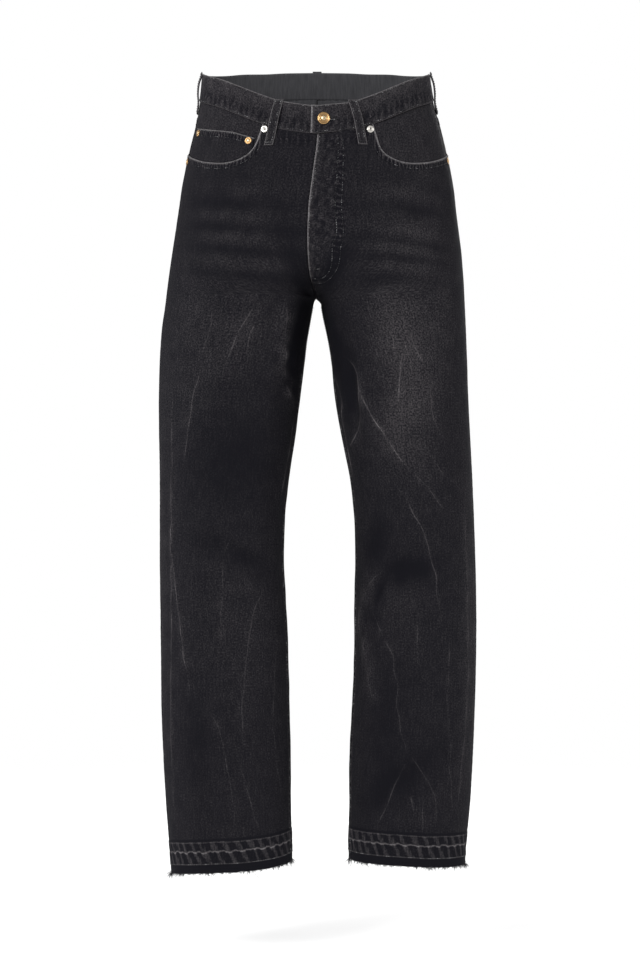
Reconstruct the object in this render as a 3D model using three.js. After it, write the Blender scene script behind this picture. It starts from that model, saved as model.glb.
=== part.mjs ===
// Straight leg jeans in the hollow shape they have when worn.
// Millimetres, +Z up. The front faces -Y and the wearer's left is at +X. The origin is
// the middle of the waist opening, level with the seam under the waistband at the sides.
import * as THREE from 'three';

const CLOTH = 1.2;
const SEAM_GAP = 0.3;
const BAND_HEIGHT = 38;
const BAND_THICKNESS = 2.4;
const BAND_PROUD = 0.8;
const BAND_LAP = 3;
const CROTCH_Z = -281;
const CROTCH_X = -1;
const FRONT_RISE = 110;
const BACK_RISE = 200;
const INSEAM_TURN = THREE.MathUtils.degToRad(9);
const LOOP_WIDTH = 12;
const LOOP_THICKNESS = 1.6;
const BUTTON_RADIUS = 8.4;
const RIVET_RADIUS = 4.8;

const LEFT = 1;
const RIGHT = -1;
const FRONT = -1;
const BACK = 1;

const DENIM = { color: 0x26262a, roughness: 0.92, metalness: 0 };
const COPPER = { color: 0x9a6f45, roughness: 0.38, metalness: 1 };
const NICKEL = { color: 0xb9b5ad, roughness: 0.32, metalness: 1 };

// A table is a list of rows whose values are read by column name.
function table(columns, rows) {
  return rows.map((row) => Object.fromEntries(columns.map((name, i) => [name, row[i]])));
}

// The body of the garment by height: the half widths out to each side seam, the half
// depths to front and back, and the power of the rounded section.
const BODY = table(['z', 'right', 'left', 'front', 'back', 'power'], [
  [60, 154.5, 152.5, 99, 96, 2.25],
  [30, 157, 154.5, 103, 99, 2.25],
  [-8, 161.5, 160, 107, 104, 2.25],
  [-41, 167, 169, 111, 110, 2.3],
  [-78, 176, 178, 115, 118, 2.3],
  [-124, 185, 187, 118, 127, 2.3],
  [-170, 192, 192.5, 118, 131, 2.3],
  [-214, 198.5, 198, 116, 129, 2.3],
  [-255, 204.5, 201.5, 112, 121, 2.25],
  [-283, 208, 203, 109, 113, 2.2],
  [-338, 215, 205.6, 103, 101, 2.15],
  [-421, 218, 208.4, 96, 92, 2.1],
  [-531, 216.7, 213.9, 87, 86, 2.1],
  [-642, 216.7, 218, 79, 82, 2.1],
  [-752, 215.3, 219.4, 74, 79, 2.1],
  [-862, 213.9, 216.7, 71, 76, 2.1],
  [-973, 208.4, 211.1, 68, 73, 2.15],
  [-1028, 204.2, 206, 67, 72, 2.15],
  [-1080, 200.4, 203, 67, 71, 2.15],
]);

// How far each leg's inner side stands from the middle, by height below the crotch.
const INNER_LEG = table(['z', 'right', 'left'], [
  [-281, 4, 5],
  [-300, 7.5, 7.5],
  [-338, 13.8, 15.2],
  [-366, 16.6, 19.3],
  [-421, 23.5, 24.8],
  [-476, 30.4, 34.5],
  [-531, 38.6, 45.5],
  [-586, 44.2, 51.1],
  [-642, 45.5, 52.4],
  [-697, 42.8, 51.1],
  [-752, 40, 51.1],
  [-807, 38.6, 49.7],
  [-862, 37.3, 46.9],
  [-918, 35.9, 44.2],
  [-973, 35.9, 44.2],
  [-1028, 34.5, 43],
  [-1080, 33, 45],
]);

// The centre front edge of the fly, which leans to the wearer's right low down.
const FLY_EDGE = table(['z', 'x'], [
  [30, 0.7],
  [-68, 0.7],
  [-118, -5.4],
  [-160, -10.7],
  [-200, -12.8],
  [-232, -12.1],
  [-256, -9.4],
  [-272, -4.5],
  [-281, CROTCH_X],
]);

// The seam under the waistband. share is 0 at the centre and 1 at the side seam.
const WAIST_SEAM = table(['share', 'front', 'back'], [
  [0, -67, 6],
  [0.16, -60, 5],
  [0.27, -51, 3],
  [0.43, -37, 1],
  [0.58, -26, -3],
  [0.8, -16, -7],
  [1, -9, -9],
]);

// The lower edge of each leg, measured on both halves of the leg.
const HEM = table(['share', 'right', 'left'], [
  [0, -1054, -1052],
  [0.4, -1063, -1055],
  [0.6, -1066, -1058],
  [1, -1073, -1060],
]);

// How far the pocket scoop drops below the waist seam.
const SCOOP = table(['share', 'drop'], [
  [0, 0],
  [0.25, 0],
  [0.262, 14.4],
  [0.275, 29.4],
  [0.315, 47],
  [0.38, 60],
  [0.47, 69.7],
  [0.6, 75.5],
  [0.75, 75.5],
  [0.885, 74],
  [1, 72],
]);

const COIN_POCKET_TOP = table(['share', 'z'], [
  [0.285, -71.5],
  [0.43, -61.5],
  [0.84, -50],
]);

// Where the yoke meets the back panel: lower at the centre back than at the sides.
const YOKE_SEAM = { side: -42, centre: -70 };

// The largest drape folds. length, width and depth are in millimetres, lean is the turn
// of the fold from upright in degrees, and a negative depth is a trough.
const FOLDS = table(['side', 'face', 'share', 'z', 'length', 'width', 'depth', 'lean'], [
  [RIGHT, FRONT, 0.27, -330, 90, 13, 3.5, 0],
  [RIGHT, FRONT, 0.12, -345, 75, 16, -5, 6],
  [RIGHT, FRONT, 0.38, -635, 60, 15, -4, -62],
  [RIGHT, FRONT, 0.42, -605, 60, 16, 3, -62],
  [RIGHT, FRONT, 0.55, -960, 90, 18, -4, -6],
  [LEFT, FRONT, 0.2, -420, 55, 12, -6, 4],
  [LEFT, FRONT, 0.27, -415, 70, 11, 4.5, -4],
  [LEFT, FRONT, 0.36, -655, 50, 14, -4.5, -58],
  [LEFT, FRONT, 0.27, -690, 55, 12, 4, -40],
  [LEFT, FRONT, 0.42, -950, 55, 15, -4, -50],
  [LEFT, FRONT, 0.32, -240, 70, 10, -2.5, -78],
  [RIGHT, FRONT, 0.32, -245, 70, 10, -2.5, 80],
  [RIGHT, BACK, 0.5, -330, 90, 14, -4, 74],
  [LEFT, BACK, 0.5, -336, 90, 14, -4, -72],
  [RIGHT, BACK, 0.48, -585, 70, 14, -5, 66],
  [LEFT, BACK, 0.52, -600, 70, 15, -5, -64],
  [RIGHT, BACK, 0.5, -640, 60, 15, 4, -60],
  [LEFT, BACK, 0.45, -655, 60, 14, 4, 58],
  [RIGHT, BACK, 0.55, -930, 90, 16, -4, 8],
  [LEFT, BACK, 0.5, -900, 90, 16, -4, -8],
]);
const FOLD_SPAN = 260;

// A smooth curve through a column, with end values held outside the table.
function along(rows, key, column, at) {
  const ordered = rows[0][key] < rows[rows.length - 1][key] ? rows : [...rows].reverse();
  const last = ordered.length - 1;
  const where = THREE.MathUtils.clamp(at, ordered[0][key], ordered[last][key]);
  let i = 0;
  while (i < last - 1 && where > ordered[i + 1][key]) i += 1;
  const slope = (k) => {
    const before = ordered[Math.max(k - 1, 0)];
    const after = ordered[Math.min(k + 1, last)];
    return (after[column] - before[column]) / (after[key] - before[key]);
  };
  const step = ordered[i + 1][key] - ordered[i][key];
  const u = (where - ordered[i][key]) / step;
  const rise = ordered[i + 1][column] - ordered[i][column];
  const start = slope(i) * step;
  const end = slope(i + 1) * step;
  return ordered[i][column] + u * (start + u * (3 * rise - 2 * start - end + u * (start + end - 2 * rise)));
}

// A straight-sided curve through a column, for edges that turn a corner.
function straight(rows, key, column, at) {
  const last = rows.length - 1;
  let i = 0;
  while (i < last - 1 && at > rows[i + 1][key]) i += 1;
  const u = THREE.MathUtils.clamp((at - rows[i][key]) / (rows[i + 1][key] - rows[i][key]), 0, 1);
  return THREE.MathUtils.lerp(rows[i][column], rows[i + 1][column], u);
}

const sideName = (side) => (side === RIGHT ? 'right' : 'left');
const faceName = (face) => (face === FRONT ? 'front' : 'back');
const signedPower = (value, power) => Math.sign(value) * Math.abs(value) ** power;

function waistSeam(face, share) {
  return along(WAIST_SEAM, 'share', faceName(face), share);
}

function scoopEdge(share) {
  return waistSeam(FRONT, share) - straight(SCOOP, 'share', 'drop', share);
}

function yokeSeam(share) {
  return THREE.MathUtils.lerp(YOKE_SEAM.centre, YOKE_SEAM.side, share);
}

function hem(side, share) {
  return along(HEM, 'share', sideName(side), share);
}

function centreLine(face, z) {
  if (face === FRONT) return along(FLY_EDGE, 'z', 'x', z);
  return CROTCH_X * THREE.MathUtils.clamp(1 - (z - CROTCH_Z) / BACK_RISE, 0, 1);
}

// Where the section starts above the crotch: from its inner side at the crotch, round to
// its middle once the centre seam has risen clear of the legs.
function seamAngle(face, z) {
  const height = face === FRONT ? FRONT_RISE : BACK_RISE;
  const share = THREE.MathUtils.clamp((z - CROTCH_Z) / height, 0, 1);
  return (Math.PI / 2) * (1 - (1 - share) ** 2) ** 0.75;
}

// A point on the garment before folds. Each half is a rounded section that runs from the
// centre seam, or from the inseam below the crotch, at share 0 to the side seam at share 1.
function bare(side, face, share, z) {
  const outer = along(BODY, 'z', sideName(side), z);
  const round = 2 / along(BODY, 'z', 'power', z);
  const start = seamAngle(face, z);
  const turn = INSEAM_TURN * THREE.MathUtils.smoothstep(CROTCH_Z - z, 0, 120);
  const first = z > CROTCH_Z ? start : -face * turn;
  const angle = first + (Math.PI - first) * share;
  const width = 1 + signedPower(Math.cos(z > CROTCH_Z ? start : 0), round);
  const reach = (1 + signedPower(Math.cos(angle), round)) / width;
  const below = CROTCH_Z - z;
  const parting = Math.sqrt(THREE.MathUtils.clamp(below / 8, 0, 1));
  const meeting = CROTCH_X * side * THREE.MathUtils.clamp(1 - below / 8, 0, 1);
  const gap = along(INNER_LEG, 'z', sideName(side), z) * parting;
  const inner = (z > CROTCH_Z ? centreLine(face, z) * side : meeting + gap) + SEAM_GAP / 2;
  const x = side * (outer - (outer - inner) * reach);
  const depth = along(BODY, 'z', faceName(angle < 0 ? -face : face), z);
  const y = face * depth * signedPower(Math.sin(angle), round);
  return new THREE.Vector3(x, y, z);
}

function outward(side, face, share, z) {
  const a = THREE.MathUtils.clamp(share, 0.01, 0.99);
  const around = bare(side, face, a + 0.01, z).sub(bare(side, face, a - 0.01, z));
  const upward = bare(side, face, a, z + 3).sub(bare(side, face, a, z - 3));
  const normal = around.cross(upward).normalize();
  return normal.multiplyScalar(side * face > 0 ? -1 : 1);
}

// Depth of the drape folds at a point: each is a soft bell across and along its length,
// and all of them fade out towards the seams.
function foldDepth(side, face, share, z) {
  let depth = 0;
  for (const fold of FOLDS) {
    if (fold.side !== side || fold.face !== face) continue;
    const across = (share - fold.share) * FOLD_SPAN;
    const up = z - fold.z;
    const lean = THREE.MathUtils.degToRad(fold.lean);
    const beside = across * Math.cos(lean) + up * Math.sin(lean);
    const ahead = up * Math.cos(lean) - across * Math.sin(lean);
    depth += fold.depth * Math.exp(-((beside / fold.width) ** 2) - (ahead / fold.length) ** 2);
  }
  return depth * (1 - Math.abs(2 * share - 1) ** 6);
}

// A point of the cloth, out millimetres outside its outer face.
function cloth(side, face, share, z, out) {
  const lift = foldDepth(side, face, share, z) + out;
  return bare(side, face, share, z).addScaledVector(outward(side, face, share, z), lift);
}

// The change of share that covers some millimetres of cloth near a point.
function shareOf(side, face, share, z, millimetres) {
  const a = THREE.MathUtils.clamp(share, 0.01, 0.99);
  const span = bare(side, face, a + 0.01, z).distanceTo(bare(side, face, a - 0.01, z));
  return (millimetres * 0.02) / span;
}

// A point beside a seam: a share below 0 goes on across the centre to the other half, and
// a share above 1 goes on across the side seam to the other face.
function acrossSeams(side, face, share, z, out) {
  if (share < 0) return cloth(-side, face, -share, z, out);
  if (share > 1) return cloth(side, -face, 2 - share, z, out);
  return cloth(side, face, share, z, out);
}

// A closed wall over a grid: its outer and inner faces, joined round the four edges.
// place(column, row, out) gives a point of the grid.
function wall(columns, rows, outer, inner, place) {
  const points = [];
  for (const out of [outer, inner]) {
    for (let r = 0; r < rows; r += 1) {
      for (let c = 0; c < columns; c += 1) points.push(...place(c, r, out).toArray());
    }
  }
  const at = (layer, r, c) => (layer * rows + r) * columns + c;
  const index = [];
  const quad = (a, b, c, d) => index.push(a, b, c, a, c, d);
  for (let r = 0; r < rows - 1; r += 1) {
    for (let c = 0; c < columns - 1; c += 1) {
      quad(at(0, r, c), at(0, r, c + 1), at(0, r + 1, c + 1), at(0, r + 1, c));
      quad(at(1, r, c), at(1, r + 1, c), at(1, r + 1, c + 1), at(1, r, c + 1));
    }
    quad(at(0, r, 0), at(0, r + 1, 0), at(1, r + 1, 0), at(1, r, 0));
    quad(at(0, r, columns - 1), at(1, r, columns - 1), at(1, r + 1, columns - 1), at(0, r + 1, columns - 1));
  }
  for (let c = 0; c < columns - 1; c += 1) {
    quad(at(0, 0, c), at(1, 0, c), at(1, 0, c + 1), at(0, 0, c + 1));
    quad(at(0, rows - 1, c), at(0, rows - 1, c + 1), at(1, rows - 1, c + 1), at(1, rows - 1, c));
  }
  const geometry = new THREE.BufferGeometry();
  geometry.setAttribute('position', new THREE.Float32BufferAttribute(points, 3));
  geometry.setIndex(signedVolume(points, index) < 0 ? index.reverse() : index);
  geometry.computeVertexNormals();
  return geometry;
}

function signedVolume(points, index) {
  const corner = (i) => new THREE.Vector3().fromArray(points, 3 * i);
  let volume = 0;
  for (let i = 0; i < index.length; i += 3) {
    volume += corner(index[i]).dot(corner(index[i + 1]).cross(corner(index[i + 2]))) / 6;
  }
  return volume;
}

function piece(name, geometry, finish) {
  const mesh = new THREE.Mesh(geometry, new THREE.MeshStandardMaterial(finish));
  mesh.name = name;
  return mesh;
}

// Rows of a panel run up the leg evenly, close up at the crotch and open out above it.
const LEG_ROWS = 22;
const RISE_STEPS = [0.012, 0.04, 0.085, 0.15, 0.24, 0.35, 0.48, 0.62, 0.76, 0.88, 1];
const SCOOP_DROP = [0.262, 0.275];
const FRONT_SHARES = [0, 0.08, 0.16, 0.25, ...SCOOP_DROP, 0.315, 0.38, 0.47, 0.6, 0.75, 0.885, 1];
const BACK_SHARES = [0, 0.1, 0.22, 0.35, 0.48, 0.61, 0.74, 0.87, 1];

function panelHeight(side, share, row, top) {
  if (row <= LEG_ROWS) return THREE.MathUtils.lerp(hem(side, share), CROTCH_Z, row / LEG_ROWS);
  return THREE.MathUtils.lerp(CROTCH_Z, top, RISE_STEPS[row - LEG_ROWS - 1]);
}

// Keeps the edges of a panel half a seam gap inside its seams.
function insideSeams(side, face, share, z) {
  const inset = shareOf(side, face, share, z, SEAM_GAP / 2);
  return THREE.MathUtils.clamp(share, inset, 1 - inset);
}

// The fly on the wearer's left front stands proud of the panel, out to its curved stitching.
const FLY = { lift: 1.3, fullShare: 0.09, endShare: 0.15, fullZ: -245, endZ: -268 };

function flyLift(side, face, share, z) {
  if (side !== LEFT || face !== FRONT) return 0;
  const across = 1 - THREE.MathUtils.smoothstep(share, FLY.fullShare, FLY.endShare);
  return FLY.lift * across * THREE.MathUtils.smoothstep(z, FLY.endZ, FLY.fullZ);
}

function legPanel(side, face) {
  const shares = face === FRONT ? FRONT_SHARES : BACK_SHARES;
  const rows = LEG_ROWS + RISE_STEPS.length + 1;
  return wall(shares.length, rows, 0, -CLOTH, (column, row, out) => {
    const share = shares[column];
    const edge = face === FRONT ? scoopEdge(share) : yokeSeam(share);
    const z = panelHeight(side, share, row, edge - SEAM_GAP / 2);
    const proud = out + flyLift(side, face, share, z);
    return cloth(side, face, insideSeams(side, face, share, z), z, proud);
  });
}

function yoke(side) {
  const rows = 4;
  return wall(BACK_SHARES.length, rows, 0, -CLOTH, (column, row, out) => {
    const share = BACK_SHARES[column];
    const low = yokeSeam(share) + SEAM_GAP / 2;
    const high = waistSeam(BACK, share) - SEAM_GAP / 2;
    const z = THREE.MathUtils.lerp(low, high, row / (rows - 1));
    return cloth(side, BACK, insideSeams(side, BACK, share, z), z, out);
  });
}

// The cloth seen inside a scoop. It runs on under the front panel below the scoop.
const FACING_SHARES = [0.235, ...FRONT_SHARES.filter((share) => share >= 0.25)];
const FACING_UNDER = 18;
const FACING_OUT = -(CLOTH + SEAM_GAP + 0.1);

function pocketFacing(side) {
  const rows = 6;
  return wall(FACING_SHARES.length, rows, FACING_OUT, FACING_OUT - CLOTH, (column, row, out) => {
    const share = FACING_SHARES[column];
    const low = scoopEdge(Math.max(share, SCOOP_DROP[1])) - FACING_UNDER;
    const high = waistSeam(FRONT, share) - SEAM_GAP / 2;
    const z = THREE.MathUtils.lerp(low, high, row / (rows - 1));
    return cloth(side, FRONT, insideSeams(side, FRONT, share, z), z, out);
  });
}

// The part of the coin pocket that shows, on the facing of the wearer's right pocket.
const COIN_SHARES = [0.285, 0.315, 0.38, 0.47, 0.6, 0.75, 0.84];
const COIN_OUTER = -0.2;

function coinPocket() {
  const rows = 4;
  return wall(COIN_SHARES.length, rows, COIN_OUTER, FACING_OUT + SEAM_GAP, (column, row, out) => {
    const share = COIN_SHARES[column];
    const low = scoopEdge(share) + SEAM_GAP;
    const high = straight(COIN_POCKET_TOP, 'share', 'z', share);
    return cloth(RIGHT, FRONT, share, THREE.MathUtils.lerp(low, high, row / (rows - 1)), out);
  });
}

// A patch pocket: its sides draw in downwards and its lower edge comes to a blunt point.
const PATCH = { share: 0.46, top: -92, halfWidth: 76, lowerHalfWidth: 66, height: 146, point: 17, tilt: 5 };
const PATCH_OUT = 0.5;

function patchPocket(side) {
  const columns = 15;
  const rows = 10;
  return wall(columns, rows, PATCH_OUT + CLOTH, PATCH_OUT, (column, row, out) => {
    const across = (2 * column) / (columns - 1) - 1;
    const down = row / (rows - 1);
    const half = THREE.MathUtils.lerp(PATCH.halfWidth, PATCH.lowerHalfWidth, down);
    const length = PATCH.height + PATCH.point * (1 - Math.abs(across));
    const z = PATCH.top - PATCH.tilt * (1 - across) - down * length;
    const share = PATCH.share + shareOf(side, BACK, PATCH.share, z, across * half);
    return cloth(side, BACK, share, z, out);
  });
}

// The waistband is one strip. It starts under the wearer's left front, runs round by the
// wearer's right and the back, and its last stretch laps over its start.
const BAND_END = { under: 15, over: -8, lapFrom: 38, lapTo: 20 };

function bandPath() {
  const ahead = (shares, side, face, lap) => shares.map((share) => ({ side, face, share, lap }));
  const back = (shares, side, face, lap) => ahead([...shares].reverse(), side, face, lap);
  const front = (millimetres) => shareOf(LEFT, FRONT, 0, 0, millimetres);
  const halfFront = FRONT_SHARES.filter((share) => !SCOOP_DROP.includes(share));
  const beyondLap = halfFront.filter((share) => share > front(BAND_END.lapFrom) && share < 1);
  const under = [front(BAND_END.under)];
  const over = [BAND_END.lapTo, BAND_END.lapTo / 2, 0, BAND_END.over].map(front);
  return [
    ...ahead(under, LEFT, FRONT, 0),
    ...ahead(halfFront, RIGHT, FRONT, 0),
    ...back(BACK_SHARES.slice(0, -1), RIGHT, BACK, 0),
    ...ahead(BACK_SHARES.slice(1), LEFT, BACK, 0),
    ...back(beyondLap, LEFT, FRONT, 0),
    ...ahead([front(BAND_END.lapFrom)], LEFT, FRONT, 0),
    ...ahead(over, LEFT, FRONT, 1),
  ];
}

function waistband() {
  const path = bandPath();
  const rows = 3;
  const inner = BAND_PROUD - BAND_THICKNESS;
  return wall(path.length, rows, BAND_PROUD, inner, (column, row, out) => {
    const { side, face, share, lap } = path[column];
    const z = waistSeam(face, Math.abs(share)) + SEAM_GAP / 2 + (BAND_HEIGHT * row) / (rows - 1);
    const point = acrossSeams(side, face, share, z, out + lap * BAND_LAP);
    if (share === 0 && face === BACK) point.x = 0;
    return point;
  });
}

// The strip behind the fly edge, which the lapped side closes on.
const SHIELD = { across: [-22, -11, 0, 11, 22, 34], lowest: -172, out: FACING_OUT - 0.2 };

function flyShield() {
  const rows = 6;
  return wall(SHIELD.across.length, rows, SHIELD.out, SHIELD.out - CLOTH, (column, row, out) => {
    const z = THREE.MathUtils.lerp(waistSeam(FRONT, 0) - SEAM_GAP, SHIELD.lowest, row / (rows - 1));
    const share = shareOf(LEFT, FRONT, 0, z, SHIELD.across[column]);
    return acrossSeams(LEFT, FRONT, share, z, out);
  });
}

// Belt loops by place. top and bottom are the heights of their ends.
const BELT_LOOPS = table(['name', 'side', 'face', 'topShare', 'top', 'bottomShare', 'bottom'], [
  ['belt_loop_front_right', RIGHT, FRONT, 0.175, -20, 0.205, -82],
  ['belt_loop_front_left', LEFT, FRONT, 0.155, -21, 0.19, -81],
  ['belt_loop_side_right', RIGHT, BACK, 1, 31, 1, -27],
  ['belt_loop_side_left', LEFT, BACK, 1, 31, 1, -27],
  ['belt_loop_back', LEFT, BACK, 0, 46, 0, -13],
]);

// A loop is sewn down at both ends and stands off the band between them. seat is how far
// its inner face lies outside the panels' outer face, from its top end to its lower end.
const LOOP_SEAT = table(['along', 'seat'], [
  [0, BAND_PROUD + SEAM_GAP],
  [0.1, 1.5],
  [0.28, 3.6],
  [0.52, 3.2],
  [0.68, BAND_PROUD + 0.5],
  [0.8, 0.5],
  [1, SEAM_GAP],
]);

function beltLoop({ side, face, topShare, top, bottomShare, bottom }) {
  const columns = 3;
  return wall(columns, LOOP_SEAT.length, LOOP_THICKNESS, 0, (column, row, out) => {
    const { along: down, seat } = LOOP_SEAT[row];
    const z = THREE.MathUtils.lerp(top, bottom, down);
    const middle = THREE.MathUtils.lerp(topShare, bottomShare, down);
    const across = (column / (columns - 1) - 0.5) * LOOP_WIDTH;
    const share = middle + shareOf(side, face, middle, z, across);
    return acrossSeams(side, face, share, z, out + seat);
  });
}

// Round fastenings are turned profiles of radius and height, set on the cloth.
const BUTTON_PROFILE = table(['radius', 'height'], [
  [0, 0],
  [BUTTON_RADIUS - 0.8, 0],
  [BUTTON_RADIUS, 0.8],
  [BUTTON_RADIUS - 0.3, 1.9],
  [BUTTON_RADIUS - 1.4, 2.4],
  [BUTTON_RADIUS - 2.6, 2],
  [BUTTON_RADIUS - 4.4, 2],
  [BUTTON_RADIUS - 5.2, 2.7],
  [BUTTON_RADIUS - 6.8, 3.1],
  [0, 3.2],
]);
const RIVET_PROFILE = table(['radius', 'height'], [
  [0, 0],
  [RIVET_RADIUS, 0],
  [RIVET_RADIUS, 0.6],
  [RIVET_RADIUS - 1.2, 1.2],
  [RIVET_RADIUS - 2.4, 1],
  [RIVET_RADIUS - 3.2, 1.8],
  [0, 2],
]);

function fastening(name, profile, sides, finish, { side, face, share, z, out }) {
  const outline = profile.map(({ radius, height }) => new THREE.Vector2(radius, height));
  const mesh = piece(name, new THREE.LatheGeometry(outline, sides), finish);
  const normal = outward(side, face, share, z);
  mesh.position.copy(cloth(side, face, share, z, out));
  mesh.quaternion.setFromUnitVectors(new THREE.Vector3(0, 1, 0), normal);
  return mesh;
}

const RIVETS = table(['name', 'side', 'share', 'z', 'out', 'finish'], [
  ['rivet_scoop_right', RIGHT, 0.236, -60, 0.4, NICKEL],
  ['rivet_scoop_left', LEFT, 0.232, -60, 0.4, NICKEL],
  ['rivet_coin_inner', RIGHT, 0.318, -75, 0.3, COPPER],
  ['rivet_coin_outer', RIGHT, 0.775, -58, 0.4, COPPER],
  ['rivet_side_right', RIGHT, 0.885, -95, 0.6, COPPER],
  ['rivet_side_left', LEFT, 0.885, -94, 0.6, COPPER],
]);
const BUTTON_SEAT = BAND_PROUD + BAND_LAP + SEAM_GAP;
const WAIST_BUTTON = { side: LEFT, face: FRONT, share: 0.018, z: -47, out: BUTTON_SEAT };

const jeans = new THREE.Group();
jeans.name = 'straight_leg_jeans';
for (const side of [RIGHT, LEFT]) {
  const name = sideName(side);
  jeans.add(piece(`front_${name}`, legPanel(side, FRONT), DENIM));
  jeans.add(piece(`back_${name}`, legPanel(side, BACK), DENIM));
  jeans.add(piece(`yoke_${name}`, yoke(side), DENIM));
  jeans.add(piece(`pocket_facing_${name}`, pocketFacing(side), DENIM));
  jeans.add(piece(`back_pocket_${name}`, patchPocket(side), DENIM));
}
jeans.add(piece('waistband', waistband(), DENIM));
jeans.add(piece('fly_shield', flyShield(), DENIM));
jeans.add(piece('coin_pocket', coinPocket(), DENIM));
for (const loop of BELT_LOOPS) jeans.add(piece(loop.name, beltLoop(loop), DENIM));
jeans.add(fastening('waist_button', BUTTON_PROFILE, 28, COPPER, WAIST_BUTTON));
for (const rivet of RIVETS) {
  jeans.add(fastening(rivet.name, RIVET_PROFILE, 16, rivet.finish, { face: FRONT, ...rivet }));
}

export default jeans;
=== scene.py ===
import math

import bpy
import numpy as np
from bpy.props import FloatProperty, FloatVectorProperty, IntProperty, PointerProperty
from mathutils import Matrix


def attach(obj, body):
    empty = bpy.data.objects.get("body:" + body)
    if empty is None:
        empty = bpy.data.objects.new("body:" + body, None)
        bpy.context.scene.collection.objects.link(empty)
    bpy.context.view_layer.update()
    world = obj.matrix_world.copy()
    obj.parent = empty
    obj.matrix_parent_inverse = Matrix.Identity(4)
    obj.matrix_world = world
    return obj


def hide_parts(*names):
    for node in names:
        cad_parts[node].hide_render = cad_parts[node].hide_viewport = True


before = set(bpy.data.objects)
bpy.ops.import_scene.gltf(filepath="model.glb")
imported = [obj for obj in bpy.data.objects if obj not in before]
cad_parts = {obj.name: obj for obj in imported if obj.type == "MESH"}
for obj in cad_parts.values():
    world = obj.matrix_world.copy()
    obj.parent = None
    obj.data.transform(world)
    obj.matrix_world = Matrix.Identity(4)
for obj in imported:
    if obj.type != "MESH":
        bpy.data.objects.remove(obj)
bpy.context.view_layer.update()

bl_info = {
    "name": "Straight leg jeans",
    "version": (1, 0, 0),
    "blender": (4, 5, 0),
    "location": "3D View > Sidebar > Jeans",
    "description": "Washed black straight leg jeans in the hollow shape they have when worn",
    "category": "Add Mesh",
}

# Lengths and places are millimetres, as in the model's own source, and meshes are metres.
MM = 0.001

UP = np.array((0, 0, 1.0))
LEFT = 1
RIGHT = -1
FRONT = -1
BACK = 1

SEAM_GAP = 0.1
SEAM_LAP = 0.25
TUCKED = 0.9
CROTCH_Z = -281
CROTCH_X = -1
FRONT_RISE = 110
BACK_RISE = 200
INSEAM_TURN = math.radians(9)
BAND_HEIGHT = 38
BAND_PROUD = 0.8
BAND_LAP = 3

# Millimetres of cloth that one unit of share stands for where folds, stitches and the weave
# are laid out, and a distance that stands for far away.
FOLD_SPAN = 260
FAR = 30

# The body of the garment: height, half width to the right and left side seams, half depth
# to the front and the back, and the power of the rounded section.
BODY = np.array([
    (60, 154.5, 152.5, 99, 96, 2.25),
    (30, 157, 154.5, 103, 99, 2.25),
    (-8, 161.5, 160, 107, 104, 2.25),
    (-41, 167, 169, 111, 110, 2.3),
    (-78, 176, 178, 115, 118, 2.3),
    (-124, 185, 187, 118, 127, 2.3),
    (-170, 192, 192.5, 118, 131, 2.3),
    (-214, 198.5, 198, 116, 129, 2.3),
    (-255, 204.5, 201.5, 112, 121, 2.25),
    (-283, 208, 203, 109, 113, 2.2),
    (-338, 215, 205.6, 103, 101, 2.15),
    (-421, 218, 208.4, 96, 92, 2.1),
    (-531, 216.7, 213.9, 87, 86, 2.1),
    (-642, 216.7, 218, 79, 82, 2.1),
    (-752, 215.3, 219.4, 74, 79, 2.1),
    (-862, 213.9, 216.7, 71, 76, 2.1),
    (-973, 208.4, 211.1, 68, 73, 2.15),
    (-1028, 204.2, 206, 67, 72, 2.15),
    (-1080, 200.4, 203, 67, 71, 2.15),
])
SIDE_COLUMN = {RIGHT: 1, LEFT: 2}
FACE_COLUMN = {FRONT: 3, BACK: 4}
POWER_COLUMN = 5

# How far each leg's inner side stands from the middle: height, right, left.
INNER_LEG = np.array([
    (-281, 4, 5),
    (-300, 7.5, 7.5),
    (-338, 13.8, 15.2),
    (-366, 16.6, 19.3),
    (-421, 23.5, 24.8),
    (-476, 30.4, 34.5),
    (-531, 38.6, 45.5),
    (-586, 44.2, 51.1),
    (-642, 45.5, 52.4),
    (-697, 42.8, 51.1),
    (-752, 40, 51.1),
    (-807, 38.6, 49.7),
    (-862, 37.3, 46.9),
    (-918, 35.9, 44.2),
    (-973, 35.9, 44.2),
    (-1028, 34.5, 43),
    (-1080, 33, 45),
])

# The centre front edge of the fly: height, and place across.
FLY_EDGE = np.array([
    (30, 0.7),
    (-68, 0.7),
    (-118, -5.4),
    (-160, -10.7),
    (-200, -12.8),
    (-232, -12.1),
    (-256, -9.4),
    (-272, -4.5),
    (-281, CROTCH_X),
])

# The seam under the waistband: share from the centre to the side seam, front, back.
WAIST_SEAM = np.array([
    (0, -67, 6),
    (0.16, -60, 5),
    (0.27, -51, 3),
    (0.43, -37, 1),
    (0.58, -26, -3),
    (0.8, -16, -7),
    (1, -9, -9),
])

# The lower edge of each leg: share, right, left.
HEM = np.array([
    (0, -1054, -1052),
    (0.4, -1063, -1055),
    (0.6, -1066, -1058),
    (1, -1073, -1060),
])

# How far the pocket scoop drops below the waist seam: share, drop.
SCOOP_START = 0.25
SCOOP = np.array([
    (0.25, 0),
    (0.262, 14.4),
    (0.275, 29.4),
    (0.292, 39),
    (0.315, 47),
    (0.38, 60),
    (0.47, 69.7),
    (0.6, 75.5),
    (0.75, 75.5),
    (0.885, 74),
    (1, 72),
])

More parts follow.
